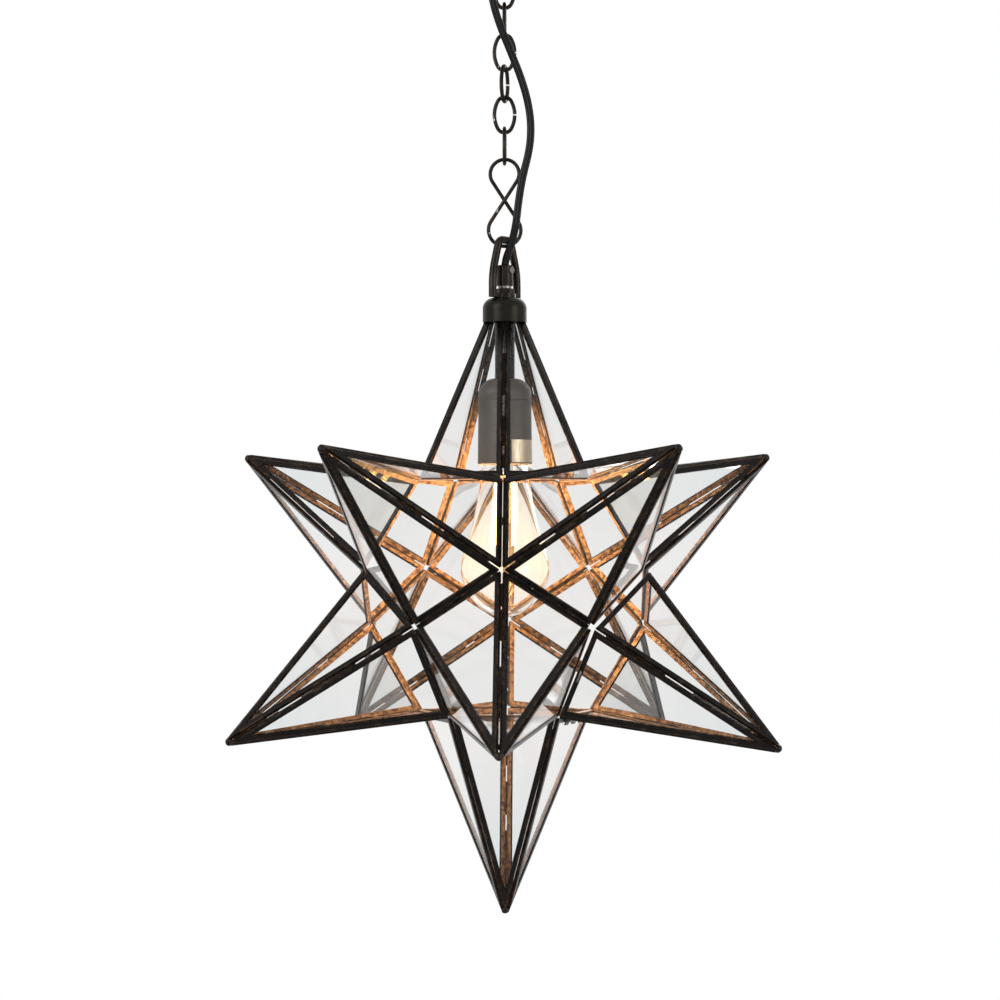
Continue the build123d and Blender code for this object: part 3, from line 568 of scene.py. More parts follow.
# %% [markdown]
# ## The star, by Geometry Nodes
# A star of this kind follows a rule, so a node tree can place every pane. An icosphere without
# subdivision has exactly twelve corners, one over each face of a dodecahedron. The tree keeps the
# corner that faces the way we ask, turns a small frame outwards there, and sets five panes leaning
# in round it. Each point stays its own piece, so the tree runs once for each point and material.

# %% Helpers for the trees that grow pieces
def new_tree(name, inputs):
    """A geometry tree with its inputs. Each input is (name, kind of socket, default)."""
    tree = bpy.data.node_groups.new(name, "GeometryNodeTree")
    geometry, material = ("Geometry", "Geometry", None), ("Material", "Material", None)
    for label, kind, default in (geometry, *inputs, material):
        socket = tree.interface.new_socket(label, in_out="INPUT", socket_type="NodeSocket" + kind)
        if default is not None:
            socket.default_value = default
    tree.interface.new_socket("Geometry", in_out="OUTPUT", socket_type="NodeSocketGeometry")
    tree.nodes.new("NodeGroupInput")
    return tree


def painted(tree, geometry):
    """Sets the material at a tree's end and gives the result out."""
    links = {"Geometry": geometry, "Material": "Material"}
    last = add_node(tree, "GeometryNodeSetMaterial", links=links)
    add_node(tree, "NodeGroupOutput", links={"Geometry": last})


def shaken(tree, geometry):
    """Pushes a surface in and out a little, by noise that the tree's inputs set."""
    links = {"Scale": "Grain", "W": "Seed"}
    noise = add_node(tree, "ShaderNodeTexNoise", {"noise_dimensions": "4D"}, {"Detail": 2.0}, links)
    amount = product(tree, maths(tree, "SUBTRACT", {0: noise}, {1: 0.5}), "Unevenness")
    links = {0: add_node(tree, "GeometryNodeInputNormal"), "Scale": amount}
    push = maths(tree, "SCALE", links, kind="ShaderNodeVectorMath")
    return add_node(tree, "GeometryNodeSetPosition", links={"Geometry": geometry, "Offset": push})


def grown(name, tree, values, base=None):
    """Runs a tree once and gives its result as a plain mesh object at the origin."""
    start = linked_object(name + "_seed", base or bpy.data.meshes.new(name + "_seed"))
    modifier = start.modifiers.new("grow", "NODES")
    modifier.node_group = tree
    for item in tree.interface.items_tree:
        if item.in_out == "INPUT" and item.name in values:
            modifier[item.identifier] = values[item.name]
    bpy.context.view_layer.update()
    evaluated = start.evaluated_get(bpy.context.evaluated_depsgraph_get())
    mesh = bpy.data.meshes.new_from_object(evaluated)
    mesh.name = name
    bpy.data.objects.remove(start)
    return linked_object(name, mesh)


# Objects that the trees read their shapes from, and that are deleted at the end.
helpers = [linked_object("channel_shape", channel_mesh), linked_object("pane_shape", pane_mesh)]
print("helpers ready")

# %% The tree that makes one glass point
quarter_fifth = math.radians(18)
point_tree = new_tree(
    "glass point",
    [
        ("Pane", "Object", None),
        ("Facing", "Vector", (0, -1, 0)),
        ("Guide", "Vector", (0, 0, 1)),
        ("Face distance", "Float", face_distance),
        ("Face inradius", "Float", face_inradius),
        ("Pane slope", "Float", pane_slope),
        ("Middle", "Vector", tuple(centre)),
    ],
)


def point_node(kind, settings=(), values=(), **links):
    """A node of the point's tree. The links' names stand for sockets, with _ for a space."""
    links = {key.replace("_", " "): source for key, source in links.items()}
    return add_node(point_tree, kind, settings, values, links)


where, vectors = point_node("GeometryNodeInputPosition"), "ShaderNodeVectorMath"
# Which way the point faces, and how it's turned about that way.
corners = point_node("GeometryNodeMeshIcoSphere", (), {"Subdivisions": 1}, Radius="Face distance")
turn = {"Rotation": (0, 0, quarter_fifth)}
turned = point_node("GeometryNodeTransform", (), turn, Geometry=corners)
outward = maths(point_tree, "NORMALIZE", {0: where}, kind=vectors)
agrees = maths(point_tree, "DOT_PRODUCT", {0: outward, 1: "Facing"}, kind=vectors)
links = {0: agrees.outputs["Value"]}
chosen = maths(point_tree, "GREATER_THAN", links, {1: 0.95}, "FunctionNodeCompare")
seat = point_node("GeometryNodeMeshToPoints", Mesh=turned, Selection=chosen)
stand = point_node("FunctionNodeAlignRotationToVector", {"axis": "Z"}, Vector=outward)
about_z = {"axis": "Y", "pivot_axis": "Z"}
lay = point_node("FunctionNodeAlignRotationToVector", about_z, Rotation=stand, Vector="Guide")
# Five panes lean in round a ring.
ring = point_node("GeometryNodeMeshCircle", (), {"Vertices": 5}, Radius="Face inradius")
turned_back = {"Rotation": (0, 0, -quarter_fifth)}
ring_at = point_node("GeometryNodeTransform", (), turned_back, Geometry=ring)
ring_points = point_node("GeometryNodeMeshToPoints", Mesh=ring_at)
inward = maths(point_tree, "SCALE", {0: where}, {"Scale": -1.0}, vectors)
ring_turn = point_node("FunctionNodeAlignRotationToVector", about_z, Vector=inward)
slope_turn = point_node(
    "FunctionNodeAxisAngleToRotation", (), {"Axis": (1, 0, 0)}, Angle="Pane slope"
)
local = {"rotation_space": "LOCAL"}
pane_turn = point_node(
    "FunctionNodeRotateRotation", local, Rotation=ring_turn, Rotate_By=slope_turn
)
pane_in = point_node("GeometryNodeObjectInfo", (), {"As Instance": True}, Object="Pane")
on_points = "GeometryNodeInstanceOnPoints"
pane = pane_in.outputs["Geometry"]
fan = point_node(on_points, Points=ring_points, Instance=pane, Rotation=pane_turn)
whole = point_node("GeometryNodeGeometryToInstance", Geometry=fan)
placed = point_node(on_points, Points=seat, Instance=whole, Rotation=lay)
real = point_node("GeometryNodeRealizeInstances", Geometry=placed)
painted(point_tree, point_node("GeometryNodeTransform", Geometry=real, Translation="Middle"))
print("point tree nodes", len(point_tree.nodes))

# %% [markdown]
# ## Every point of the star
# The points are named by where they are, as in the solid model. The lower right one is hinged for
# changing the bulb and hangs a little ajar, so its meshes are turned about the hinge's pin. The
# top one is cut off level where the cap sits.

# %% Grow the twelve points
upper = {
    "upper_front_left": -36, "upper_front_right": 36, "upper_left": -108, "upper_right": 108,
    "upper_back": 180,
}
lower = {
    "lower_front": 0, "lower_left": -72, "lower_back_left": -144, "lower_back_right": 144,
    "door": 72,
}
hinge_middle = centre + Vector((52.2274, -16.9697, -88.8546)) * MM
hinge_direction = Vector((0.30902, 0.95106, 0))
door_ajar = math.radians(1.8)
cap_depth, cap_gap = 34.1 * MM, 0.05 * MM
cap_seat_z = centre.z + apex_radius - cap_depth


def facing(bearing, tilt):
    """The way a point faces, from its bearing round the star and its tilt above the level."""
    turn, rise = math.radians(bearing), math.radians(tilt)
    level = math.cos(rise)
    return Vector((math.sin(turn) * level, -math.cos(turn) * level, math.sin(rise)))


# Each point has the way it faces, and a guide for how it's turned about that way.
points = {name: (facing(bearing, face_tilt), (0, 0, -1)) for name, bearing in upper.items()}
points |= {name: (facing(bearing, -face_tilt), (0, 0, 1)) for name, bearing in lower.items()}
points["top_point"] = (Vector((0, 0, 1)), (0, -1, 0))
points["bottom_point"] = (Vector((0, 0, -1)), (0, 1, 0))


def hung_ajar(piece):
    """Turns a piece of the hinged point about its pin."""
    to_pin = Matrix.Translation(hinge_middle)
    turn = Matrix.Rotation(door_ajar, 4, hinge_direction)
    piece.data.transform(to_pin @ turn @ to_pin.inverted())


def cut_above(mesh, height):
    """Cuts a mesh off level at a height and closes the cut."""
    work = bmesh.new()
    work.from_mesh(mesh)
    cut = bmesh.ops.bisect_plane(
        work, geom=work.verts[:] + work.edges[:] + work.faces[:], plane_co=(0, 0, height),
        plane_no=(0, 0, 1), clear_outer=True,
    )
    edges = [part for part in cut["geom_cut"] if isinstance(part, bmesh.types.BMEdge)]
    bmesh.ops.holes_fill(work, edges=edges, sides=0)
    bmesh.ops.recalc_face_normals(work, faces=work.faces)
    work.to_mesh(mesh)
    work.free()


def sharpened(mesh, degrees=32):
    """Smooth shading, with the real corners kept sharp."""
    for face in mesh.polygons:
        face.use_smooth = True
    mesh.set_sharp_from_angle(angle=math.radians(degrees))


def stands_for(piece, body, node):
    """Puts a piece on the body it rides on, and hides the solid that it stands for."""
    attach(piece, body)
    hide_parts(node)


sharpened(channel_mesh)
# A part's node ending, its pieces' ending, its shape and its finish.
parts = (
    ("frames", "channels", helpers[0], "channel_black"),
    ("glass", "panes", helpers[1], "clear_glass"),
)
for name, (way, guide) in points.items():
    for node_ending, ending, shape, slot in parts:
        settings = {"Pane": shape, "Facing": way, "Guide": guide, "Material": materials[slot]}
        piece = grown(f"{name}_{ending}", point_tree, settings)
        if name == "door":
            hung_ajar(piece)
        if name == "top_point":
            cut_above(piece.data, cap_seat_z - cap_gap)
        stands_for(piece, "door" if name == "door" else "star", f"{name}_{node_ending}")
print("points", len(points))

# %% [markdown]
# ## Wires
# The chain, the figure-eight, the filament's rods and wires and the runs of solder are all round
# wire along a path. One tree serves them all: it turns a path into a curve, carries a circle along
# it, and unsettles the surface a little, because bent and lacquered wire is never quite even.

# %% The tree that makes a wire
wire_tree = new_tree(
    "wire",
    [
        ("Radius", "Float", 1.25 * MM),
        ("Sides", "Int", 20),
        ("Unevenness", "Float", 0.04 * MM),
        ("Grain", "Float", 180.0),
        ("Seed", "Float", 0.0),
    ],
)
course = add_node(wire_tree, "GeometryNodeMeshToCurve", links={"Mesh": "Geometry"})
section = {"Resolution": "Sides", "Radius": "Radius"}
around = add_node(wire_tree, "GeometryNodeCurvePrimitiveCircle", links=section)
wire_body = add_node(
    wire_tree, "GeometryNodeCurveToMesh", values={"Fill Caps": True},
    links={"Curve": course, "Profile Curve": around},
)
uneven = {"Geometry": shaken(wire_tree, wire_body)}
painted(wire_tree, add_node(wire_tree, "GeometryNodeRealizeInstances", links=uneven))


def path_mesh(name, paths):
    """A mesh of edges along each path. A path is its points and whether it closes on itself."""
    spots, edges = [], []
    for spot_list, closed in paths:
        first, count = len(spots), len(spot_list)
        spots += [tuple(spot) for spot in spot_list]
        edges += [(first + k, first + k + 1) for k in range(count - 1)]
        if closed:
            edges.append((first + count - 1, first))
    mesh = bpy.data.meshes.new(name)
    mesh.from_pydata(spots, edges, [])
    return mesh


def wire_piece(name, paths, radius, slot, body, node, seed, unevenness=0.04 * MM, sides=20):
    """A wire along one or more paths, riding on a body and standing for a solid."""
    settings = {"Radius": radius, "Sides": sides, "Unevenness": unevenness, "Grain": 180.0}
    settings |= {"Seed": seed, "Material": materials[slot]}
    piece = grown(name, wire_tree, settings, path_mesh(name, paths))
    sharpened(piece.data, 40)
    stands_for(piece, body, node)
    return piece


def arc(middle, radius, start, sweep, steps):
    """Points on an arc in a flat drawing. Angles are in degrees."""
    angles = [math.radians(start + sweep * step / steps) for step in range(steps + 1)]
    return [(middle[0] + radius * math.cos(a), middle[1] + radius * math.sin(a)) for a in angles]


def joined(*runs):
    """Runs of points put end to end, without doubled points."""
    line = []
    for run in runs:
        for spot in run:
            if not line or math.dist(line[-1], spot) > 1e-6:
                line.append(spot)
    return line


def upright(flat, z, turn):
    """A flat drawing stood on edge at a height, turned about the hanging axis."""
    across = Vector((math.cos(math.radians(turn)), math.sin(math.radians(turn)), 0))
    return [across * x + Vector((0, 0, z + y)) for x, y in flat]


print("wire tree nodes", len(wire_tree.nodes))

# %% [markdown]
# ## The chain
# Six open links of round wire hang one in the next, each turned a quarter from the one above, with
# one of them a little off square as in the photograph. The ends of the wire don't meet, and the
# gap is on the same side in each. A link's sides are long shallow arcs and its ends are tight ones.

# %% Six links
link_wire, link_length, link_width = 2.9 * MM, 29.0 * MM, 17.8 * MM
link_end, link_gap = 5.6 * MM, 1.0 * MM
link_turns = (0, 90, 0, 73, 0, 90)
link_feet = (-82.85, -105.75, -128.65, -151.55, -174.45, -197.35)
half_length = (link_length - link_wire) / 2
half_width = (link_width - link_wire) / 2
end_drop = half_length - link_end
side_radius = (end_drop**2 + half_width**2 - link_end**2) / (2 * (half_width - link_end))
side_centre = side_radius - half_width
side_angle = math.degrees(math.atan(end_drop / side_centre))
gap_angle = math.degrees(link_gap / 2 / side_radius)
link_drawing = joined(
    arc((-side_centre, 0), side_radius, gap_angle, side_angle - gap_angle, 12),
    arc((0, end_drop), link_end, side_angle, 180 - 2 * side_angle, 22),
    arc((side_centre, 0), side_radius, 180 - side_angle, 2 * side_angle, 24),
    arc((0, -end_drop), link_end, 180 + side_angle, 180 - 2 * side_angle, 22),
    arc((-side_centre, 0), side_radius, -side_angle, side_angle - gap_angle, 12),
)
for number, (turn, foot) in enumerate(zip(link_turns, link_feet), start=1):
    line = upright(link_drawing, foot * MM + half_length, turn)
    wire_piece(
        f"link_{number}_wire", [(line, False)], link_wire / 2, "chain_bronze", f"link_{number}",
        f"chain_link_{number}", seed=number,
    )
print("links", len(link_turns), "points along each", len(link_drawing))

# %% [markdown]
# ## The figure-eight
# Below the chain one wire is bent into a figure-eight, so that the heavy bow can be hooked on. Its
# front strand runs down from the upper right to the lower left, and the strands pass each other
# without touching. Each loop is an arc, joined to the other loop by straight tangents.

# %% The figure-eight link
eight_wire, strand_gap = 2.8 * MM, 0.25 * MM
upper_loop, lower_loop = (24.0 * MM - eight_wire) / 2, (26.5 * MM - eight_wire) / 2
eight_top, eight_bottom = -194.2 * MM, -258.0 * MM
strand_offset = (eight_wire + strand_gap) / 2
upper_middle, lower_middle = eight_top - upper_loop, eight_bottom + lower_loop
loops_apart = upper_middle - lower_middle
crossing = lower_middle + loops_apart * lower_loop / (upper_loop + lower_loop)
lean = math.degrees(math.asin(upper_loop / (upper_middle - crossing)))
upper_arc = arc((0, upper_middle), upper_loop, -lean, 180 + 2 * lean, 40)
lower_arc = arc((0, lower_middle), lower_loop, lean, -180 - 2 * lean, 40)


def eased(share):
    """A smooth passage from 0 to 1."""
    return share * share * (3 - 2 * share)


eight_line = []
for flat_arc, side in ((upper_arc, -1), (lower_arc, 1)):
    for step, (x, z) in enumerate(flat_arc):
        depth = side * strand_offset * (1 - 2 * eased(step / (len(flat_arc) - 1)))
        eight_line.append(Vector((x, depth, z)))
    # The straight run to the other loop.
    start, end = eight_line[-1], eight_line[0]
    if side == -1:
        end = Vector((lower_arc[0][0], strand_offset, lower_arc[0][1]))
    eight_line += [start.lerp(end, k / 8) for k in range(1, 8)]
wire_piece(
    "figure_eight_wire", [(eight_line, True)], eight_wire / 2, "chain_bronze", "figure_eight",
    "figure_eight_link", seed=11.0,
)
print("figure-eight points", len(eight_line), "lean", round(lean, 1))

# %% [markdown]
# ## The cord
# A flat black twin flex carries the power. It comes out of the grip in the bow, swings out to the
# right of the chain, crosses in front of it and goes into the canopy beside the loop. Its line is
# one smooth NURBS curve through the route of the solid model. The real flex bends with the chain,
# so the tube is made in eight lengths, one over each of the chain's turning places. The ends of
# each length slide under the next length's.

# %% The cord's line
grip_top = centre.z + 242.25 * MM
canopy_foot = -34.0 * MM
grommet_x = 22 * MM * math.cos(math.radians(-118))
grommet_y = 22 * MM * math.sin(math.radians(-118))
# Each stop is how far right, how far back and how far above the grip it is, in millimetres.
stops = (
    (0, 0, -5), (0, 0, 3), (4.5, -5.2, 13.5), (8.4, -10.0, 28), (10.4, -11.8, 46),
    (13.6, -11.5, 65), (18.4, -10.5, 83), (19.8, -10.6, 101), (17.4, -11.6, 119),
    (12.0, -13.6, 137), (4.6, -15.6, 155), (-2.8, -17.0, 173), (-8.4, -18.4, 191),
)
cord_route = [(x * MM, y * MM, grip_top + rise * MM) for x, y, rise in stops]
cord_route.append((grommet_x, grommet_y, grip_top + 209 * MM))
cord_route.append((grommet_x, grommet_y, canopy_foot + 1.2 * MM))


def nurbs_line(route, resolution):
    """The points of a smooth NURBS curve that has the route's points as its control points."""
    data = bpy.data.curves.new("route", "CURVE")
    data.dimensions = "3D"
    data.resolution_u = resolution
    spline = data.splines.new("NURBS")
    spline.points.add(len(route) - 1)
    for point, spot in zip(spline.points, route):
        point.co = (*spot, 1)
    spline.order_u = 3
    spline.use_endpoint_u = True
    bare = bpy.data.objects.new("route", data)
    mesh = bpy.data.meshes.new_from_object(bare)
    line = [vertex.co.copy() for vertex in mesh.vertices]
    bpy.data.meshes.remove(mesh)
    bpy.data.objects.remove(bare)
    bpy.data.curves.remove(data)
    return line


def run_length(line):
    """How long a line of points is."""
    return sum((b - a).length for a, b in zip(line, line[1:]))


cord_line = nurbs_line(cord_route, 20)
print("cord length", round(run_length(cord_line), 4), "points", len(cord_line))

# %% Eight lengths of twin flex
cord_width, core_radius = 5.8 * MM, 1.62 * MM
core_offset = cord_width / 2 - core_radius
turning_heights = [-60.0 * MM] + [foot * MM for foot in link_feet] + [eight_bottom]
chain_bodies = ["canopy"] + [f"link_{k}" for k in range(1, 7)] + ["figure_eight", "star"]
bend_reach, under, tucked = 4.6 * MM, 7.0 * MM, 0.965
halfway = [(a + b) / 2 for a, b in zip(turning_heights, turning_heights[1:])]
# The last turning place is far below the one above it, so its length starts nearer to it.
cuts = [0.0, *halfway[:-1], eight_bottom + 26 * MM, -1.0]


def twin_outline(steps=9):
    """The section of the flex: two round cores side by side, with a groove between them."""
    outline = []
    for side in (1, -1):
        for step in range(steps):
            angle = math.radians(-128 + 256 * step / (steps - 1))
            across = core_offset + core_radius * math.cos(angle)
            outline.append((side * across, side * core_radius * math.sin(angle)))
    return outline


def flex_mesh(name, line, shrinks):
    """A tube with the flex's section along a line. Its flat side keeps facing the front."""
    outline = twin_outline()
    work = bmesh.new()
    rings = []
    for k, spot in enumerate(line):
        along = (line[min(k + 1, len(line) - 1)] - line[max(k - 1, 0)]).normalized()
        across = Vector((1, 0.25, 0)) - along * Vector((1, 0.25, 0)).dot(along)
        across.normalize()
        deep, scale = along.cross(across), shrinks[k]
        ring = [work.verts.new(spot + (across * x + deep * y) * scale) for x, y in outline]
        rings.append(ring)
    return skinned(work, name, rings)


cord_pieces = []
for k, height in enumerate(turning_heights):
    top, foot = cuts[k], cuts[k + 1]
    inner_top = top + (under if k > 0 else 0)
    inner_foot = foot - (under if 0 < k < len(turning_heights) - 2 else 0)
    line = [spot for spot in cord_line if inner_foot <= spot.z <= inner_top]
    shrinks = [1.0 if foot <= spot.z <= top else tucked for spot in line]
    piece = linked_object(f"supply_cord_{k + 1}", flex_mesh(f"cord_{k + 1}", line, shrinks))
    piece.data.materials.append(materials["cord_black"])
    sharpened(piece.data, 50)
    above, below = (0, 0, height + bend_reach), (0, 0, height - bend_reach)
    if chain_bodies[k] == "link_6":
        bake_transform(piece)
    else:
        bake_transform(piece)
    cord_pieces.append(piece)
for piece in cord_pieces:
    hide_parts("supply_cord")

# %% [markdown]
# ## Solder
# Every point ends in a blunt drop of solder that ties its five channels together, and short beads
# lie in the valleys where two points meet. Solder is never twice the same, so the tree takes its
# places, turns and sizes from marks on the points it is given, and shakes each drop a little with
# noise from a fixed seed.

# %% The tree that lays solder drops
drop_tree = new_tree(
    "solder drops",
    [
        ("Roundness", "Int", 3),
        ("Unevenness", "Float", 0.5 * MM),
        ("Grain", "Float", 420.0),
        ("Seed", "Float", 4.0),
    ],
)
links, ball = {"Subdivisions": "Roundness"}, {"Radius": 1.0}
laying = {"Points": add_node(drop_tree, "GeometryNodeMeshToPoints", links={"Mesh": "Geometry"})}
laying["Instance"] = add_node(drop_tree, "GeometryNodeMeshIcoSphere", (), ball, links)
for socket, label in (("Rotation", "turn"), ("Scale", "size")):
    kind = {"data_type": "FLOAT_VECTOR"}
    mark = add_node(drop_tree, "GeometryNodeInputNamedAttribute", kind, {"Name": label})
    laying[socket] = mark
laid = {"Geometry": add_node(drop_tree, "GeometryNodeInstanceOnPoints", links=laying)}
real = add_node(drop_tree, "GeometryNodeRealizeInstances", links=laid)
uneven = {"Geometry": shaken(drop_tree, real)}
painted(drop_tree, add_node(drop_tree, "GeometryNodeSetShadeSmooth", links=uneven))
print("drop tree nodes", len(drop_tree.nodes))


# %% Lay the solder
def marked_points(name, drops):
    """A mesh of bare points. Each drop is its place, its turn as a matrix and its three radii."""
    mesh = bpy.data.meshes.new(name)
    mesh.from_pydata([tuple(place) for place, _, _ in drops], [], [])
    turns = mesh.attributes.new("turn", "FLOAT_VECTOR", "POINT")
    sizes = mesh.attributes.new("size", "FLOAT_VECTOR", "POINT")
    for k, (_, turn, size) in enumerate(drops):
        turns.data[k].vector = turn.to_euler()
        sizes.data[k].vector = size
    return mesh


channel_tip = pane_inset / math.sin(math.atan(core_edge / 2 / pane_height))
tip_drop = channel_tip * math.sin(pane_slope)
cap_middle = apex_radius - tip_drop + 0.4 * MM
tip_size = (3.1 * MM, 3.1 * MM, 2.9 * MM)
bead_size = (1.05 * MM, 1.15 * MM, 3.4 * MM)
root = channel_thickness / 2 / math.sin(valley_half) + 0.9 * MM
neighbours_within = math.radians(70)


def tip_of(way):
    """The drop on a point's tip."""
    return centre + way * cap_middle, way.to_track_quat("Z", "Y").to_matrix(), tip_size


ways = {name: way for name, (way, _) in points.items()}
tips = [tip_of(way) for name, way in ways.items() if name not in ("door", "top_point")]
beads, seam_ways = [], []
names = list(ways)
mid_radius = core_edge / 4 * (3 + math.sqrt(5))
for k, first in enumerate(names):
    for second in names[k + 1 :]:
        if ways[first].angle(ways[second]) > neighbours_within or "door" in (first, second):
            continue
        rise = (ways[first] + ways[second]).normalized()
        run = ways[first].cross(ways[second]).normalized()
        turn = Matrix((rise, run.cross(rise), run)).transposed()
        beads.append((centre + rise * (mid_radius + root), turn, bead_size))
        # The valley right before the bulb stays open, and the lamp shines through it.
        if (first, second) != ("upper_front_left", "upper_front_right"):
            seam_ways.append((rise, run))
# A piece's name, its drops, its body and its solid.
for name, drops, body, node in (
    ("solder_drops", tips + beads, "star", "solder_joints"),
    ("door_solder_drop", [tip_of(ways["door"])], "door", "door_solder_cap"),
):
    settings = {"Roundness": 3, "Unevenness": 1.5 * MM, "Grain": 420.0, "Seed": 4.0}
    settings["Material"] = materials["solder_dark"]
    piece = grown(name, drop_tree, settings, marked_points(name + "_places", drops))
    if body == "door":
        hung_ajar(piece)
    stands_for(piece, body, node)
print("tips", len(tips) + 1, "beads", len(beads))

# %% [markdown]
# ### Seams
# Where two channels lie side by side, a thin run of solder closes the seam at its root. The runs
# stop and start, and daylight or lamplight shows through the gaps between them as bright slits.
# The hinged point's own base has no seams, because it has to open.

# %% Runs of solder along the seams
chance = random.Random(12)
corner_radius = core_edge / (2 * math.sin(half_fifth))
ridge_depth = channel_thickness / 2 / math.sin(ridge_half) - 0.15 * MM
valley_rise = channel_thickness / 2 / math.sin(valley_half) - 0.1 * MM
ridge_closed, valley_closed, top_cut = 0.6, 0.93, 0.72
seam_radius, longest_step = 0.5 * MM, 7 * MM


def broken_runs(start, end, aside, closed_share):
    """Runs of solder from start to end, with random gaps. aside moves them off the line."""
    runs, along, length = [], 0.07, (end - start).length
    while along < 0.95:
        reach = min(0.96, along + chance.uniform(0.15, 0.55) * closed_share)
        count = max(2, round((reach - along) * length / longest_step))
        shares = [along + (reach - along) * k / count for k in range(count + 1)]
        runs.append(([start.lerp(end, share) + aside for share in shares], False))
        along = reach + chance.uniform(0.02, 0.5) * (1 - closed_share)
    return runs


seams = {"star": [], "door": []}
for name, (way, guide) in points.items():
    level = (Vector(guide) - way * way.dot(Vector(guide))).normalized()
    side = level.cross(way)
    tip, base = centre + way * (apex_radius - tip_drop), centre + way * face_distance
    for k in range(5):
        angle = math.radians(90 + 72 * k)
        corner = base + (side * math.cos(angle) + level * math.sin(angle)) * corner_radius
        end = corner.lerp(centre + way * apex_radius, top_cut) if name == "top_point" else tip
        line = (end - corner).normalized()
        inward = base - corner - line * line.dot(base - corner)
        runs = broken_runs(corner, end, inward.normalized() * ridge_depth, ridge_closed)
        seams["door" if name == "door" else "star"] += runs
for rise, run in seam_ways:
    start, end = (centre + rise * mid_radius + run * core_edge / 2 * sign for sign in (-1, 1))
    seams["star"] += broken_runs(start, end, rise * valley_rise, valley_closed)
for body, node in (("star", "solder_joints"), ("door", "door_solder_cap")):
    piece = wire_piece(
        f"{body}_solder_seams", seams[body], seam_radius, "solder_dark", body, node,
        unevenness=0.35 * MM, sides=10, seed=7.0,
    )
    if body == "door":
        hung_ajar(piece)
print("runs of solder", {body: len(runs) for body, runs in seams.items()})

# %% [markdown]
# ## The bulb
# The bulb is a clear pear-shaped lamp with four long filament rods. Its glass is turned from one
# smooth profile, with the same few radii as the solid model, and has a real wall so that light
# bends in it as in a blown bulb. The rods glow. Thin wires carry them from the glass stem.

# %% Blow the bulb
bulb_radius, neck_radius, bulb_wall = 32.0 * MM, 12.1 * MM, 0.8 * MM
holder_mouth = centre.z + 96.0 * MM
bulb_bottom = centre.z - 16.0 * MM
bulb_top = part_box("bulb_envelope")[1][2]
bulb_drop = holder_mouth - bulb_bottom
# Between the neck and the lowest point: shares of the radius, and of the drop from the holder.
shoulders = [(0.56, 0.09), (0.80, 0.43), (1.0, 0.73)]
end_ways = np.array([(0.25, -1.0), (-1.0, 0.0)])
end_ways /= np.linalg.norm(end_ways, axis=1)[:, None]


def bulb_profile(inset, steps=72):
    """A smooth curve through the bulb's radii, from its neck to its lowest point."""
    spots = [(neck_radius - inset, bulb_top)]
    for wide, down in shoulders:
        spots.append((bulb_radius * wide - inset, holder_mouth - down * bulb_drop))
    spots = np.array([*spots, (0.0, bulb_bottom + inset)])
    steps_between = np.diff(spots, axis=0)
    runs = np.linalg.norm(steps_between, axis=1)
    along, count = np.concatenate([[0], np.cumsum(runs)]), len(spots)
    # The slope at each inner spot makes the bend run on without a jump.
    system, wanted = np.zeros((count, count)), np.zeros((count, 2))
    system[0, 0] = system[-1, -1] = 1
    wanted[0], wanted[-1] = end_ways
    rises = steps_between / runs[:, None]
    for k in range(1, count - 1):
        before, after = runs[k - 1], runs[k]
        system[k, k - 1 : k + 2] = after, 2 * (before + after), before
        wanted[k] = 3 * (after * rises[k - 1] + before * rises[k])
    slopes = np.linalg.solve(system, wanted)
    profile = []
    for s in np.linspace(0, along[-1], steps):
        k = min(int(np.searchsorted(along, s, side="right")) - 1, count - 2)
        run, t = runs[k], (s - along[k]) / runs[k]
        spot = spots[k] * (1 + 2 * t) * (1 - t) ** 2 + slopes[k] * run * t * (1 - t) ** 2
        spot = spot + spots[k + 1] * t * t * (3 - 2 * t) + slopes[k + 1] * run * t * t * (t - 1)
        profile.append((max(float(spot[0]), 0.0), float(spot[1])))
    return profile


def lathe(name, profile, sides=96):
    """A closed profile of (radius, height) turned round the hanging axis."""
    work = bmesh.new()
    angles = [2 * math.pi * k / sides for k in range(sides)]
    rings = []
    for r, height in profile:
        if r < 1e-6:
            rings.append([work.verts.new((0, 0, height))] * sides)
        else:
            spots = [(r * math.cos(a), r * math.sin(a), height) for a in angles]
            rings.append([work.verts.new(spot) for spot in spots])
    return skinned(work, name, rings, closed=True)


wall_profile = bulb_profile(0) + bulb_profile(bulb_wall)[::-1]
envelope = linked_object("bulb_glass_envelope", lathe("bulb_glass_envelope", wall_profile))
envelope.data.materials.append(materials["bulb_glass"])
sharpened(envelope.data, 60)
stands_for(envelope, "bulb", "bulb_envelope")
print("bulb faces", len(envelope.data.polygons))

# %% Filament rods and their wires
cage_low, cage_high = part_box("filament_cage")
filament_length, rod_radius, rod_circle = 50.0 * MM, 1.35 * MM, 9.5 * MM
filament_wire = 0.28 * MM
rod_foot = cage_low[2] + 0.8 * MM
rod_top = rod_foot + filament_length
rod_end, top_share = 2 * MM, 0.94


def high_up(height):
    """A place straight above the origin."""
    return Vector((0, 0, height))


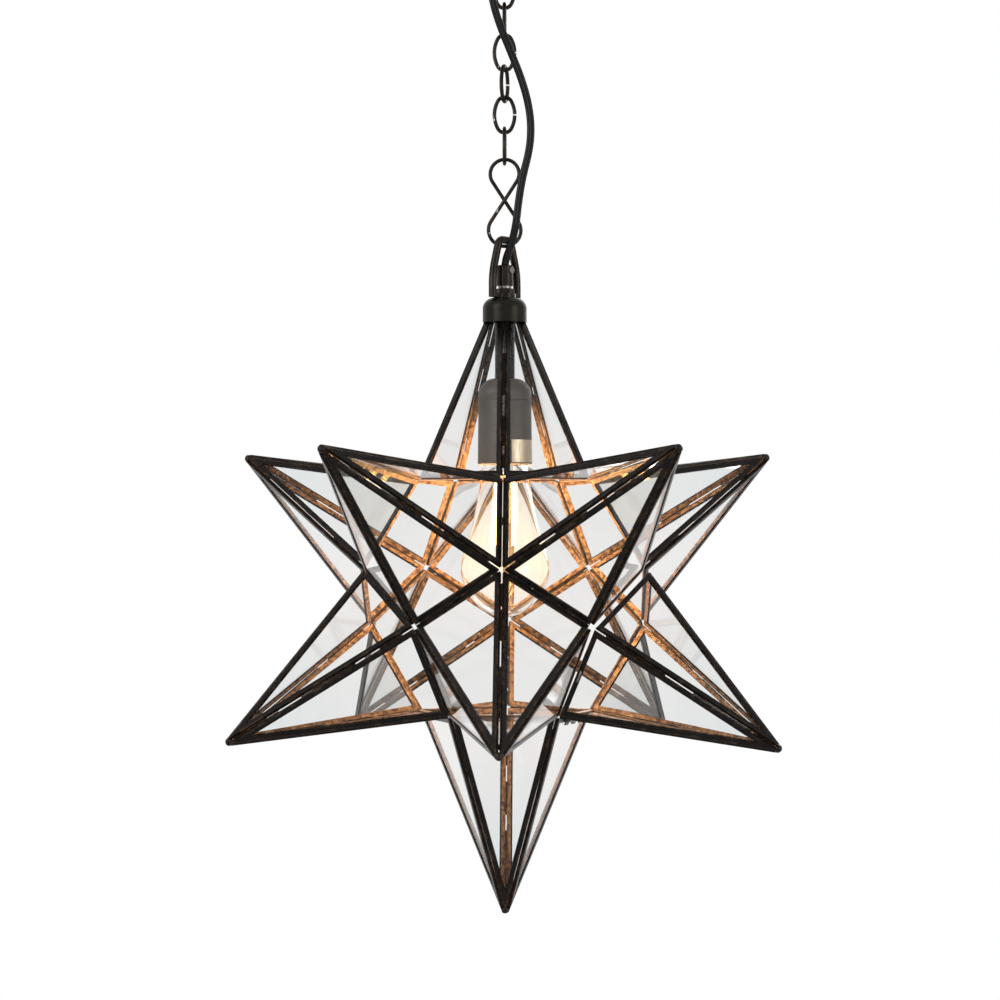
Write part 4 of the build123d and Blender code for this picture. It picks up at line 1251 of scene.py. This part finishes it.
rod_places = []
for k in range(4):
    angle = math.radians(45 + 90 * k)
    rod_places.append(Vector((rod_circle * math.cos(angle), rod_circle * math.sin(angle), 0)))
rods = []
for spot in rod_places:
    top = spot * top_share + high_up(rod_top - rod_end)
    rods.append(([top, spot + high_up(rod_foot + rod_end)], False))
wire_piece(
    "filament_rods", rods, rod_radius, "filament_glow", "bulb", "filament_cage",
    unevenness=0.1 * MM, sides=16, seed=2.0,
)
hub = high_up(cage_high[2] + 1 * MM)
wires = []
for spot in rod_places:
    high = spot * top_share + high_up(rod_top - 2.2 * MM)
    bend = hub * 0.4 + (high + high_up(4 * MM)) * 0.6
    wires.append(([hub, bend, high + high_up(1.2 * MM), high], False))
# Below the rods, short wires join them in a row.
low = high_up(rod_foot + 0.4 * MM)
for first, second in ((0, 1), (2, 3), (1, 2)):
    a, b = (rod_places[k] + high_up(rod_foot + 2.2 * MM) for k in (first, second))
    near_a, near_b = ((a * u + b * (1 - u)) * Vector((1, 1, 0)) + low for u in (0.8, 0.2))
    wires.append(([a, near_a, near_b, b], False))
wires.append(([hub + high_up(2 * MM), high_up(rod_foot + 8 * MM)], False))
wire_piece(
    "filament_wires", wires, filament_wire, "bulb_cap_metal", "bulb", "filament_cage",
    unevenness=0.02 * MM, sides=10, seed=5.0,
)
glow_data = bpy.data.lights.new("bulb_light", "POINT")
glow_data.energy = 14.0
glow_data.color = (1.0, 0.68, 0.36)
glow_data.shadow_soft_size = 16 * MM
glow_lamp = linked_object("bulb_light", glow_data)
glow_lamp.location = high_up(rod_foot + filament_length / 5)
glow_lamp.parent = envelope
glow_lamp.visible_camera = glow_lamp.visible_glossy = glow_lamp.visible_transmission = False
print("rods", len(rods), "wires", len(wires))

# %% [markdown]
# ## Everything else
# The cap, the bow, the lampholder, the canopy and the small fittings are turned, cast or pressed
# parts, and their solids already have the right form. They only need their finishes, which the
# record names for each of them.

# %% Finish the solid pieces
subparts = frame["record"]["subparts"]
for part in subparts:
    node, material = nodes[part["node"]], materials[part["material_slot"]]
    if not node.material_slots:
        node.data.materials.append(material)
    for slot in node.material_slots:
        slot.link = "OBJECT"
        slot.material = material
for thing in helpers:
    bpy.data.objects.remove(thing)
print("finished", len(subparts))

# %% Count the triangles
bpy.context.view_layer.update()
triangles = {}
for thing in scene.objects:
    if thing.type == "MESH":
        triangles[thing.name] = sum(len(face.vertices) - 2 for face in thing.data.polygons)
most = sorted(triangles.items(), key=lambda item: -item[1])[:4]
print("most triangles", most, "in all", sum(triangles.values()))
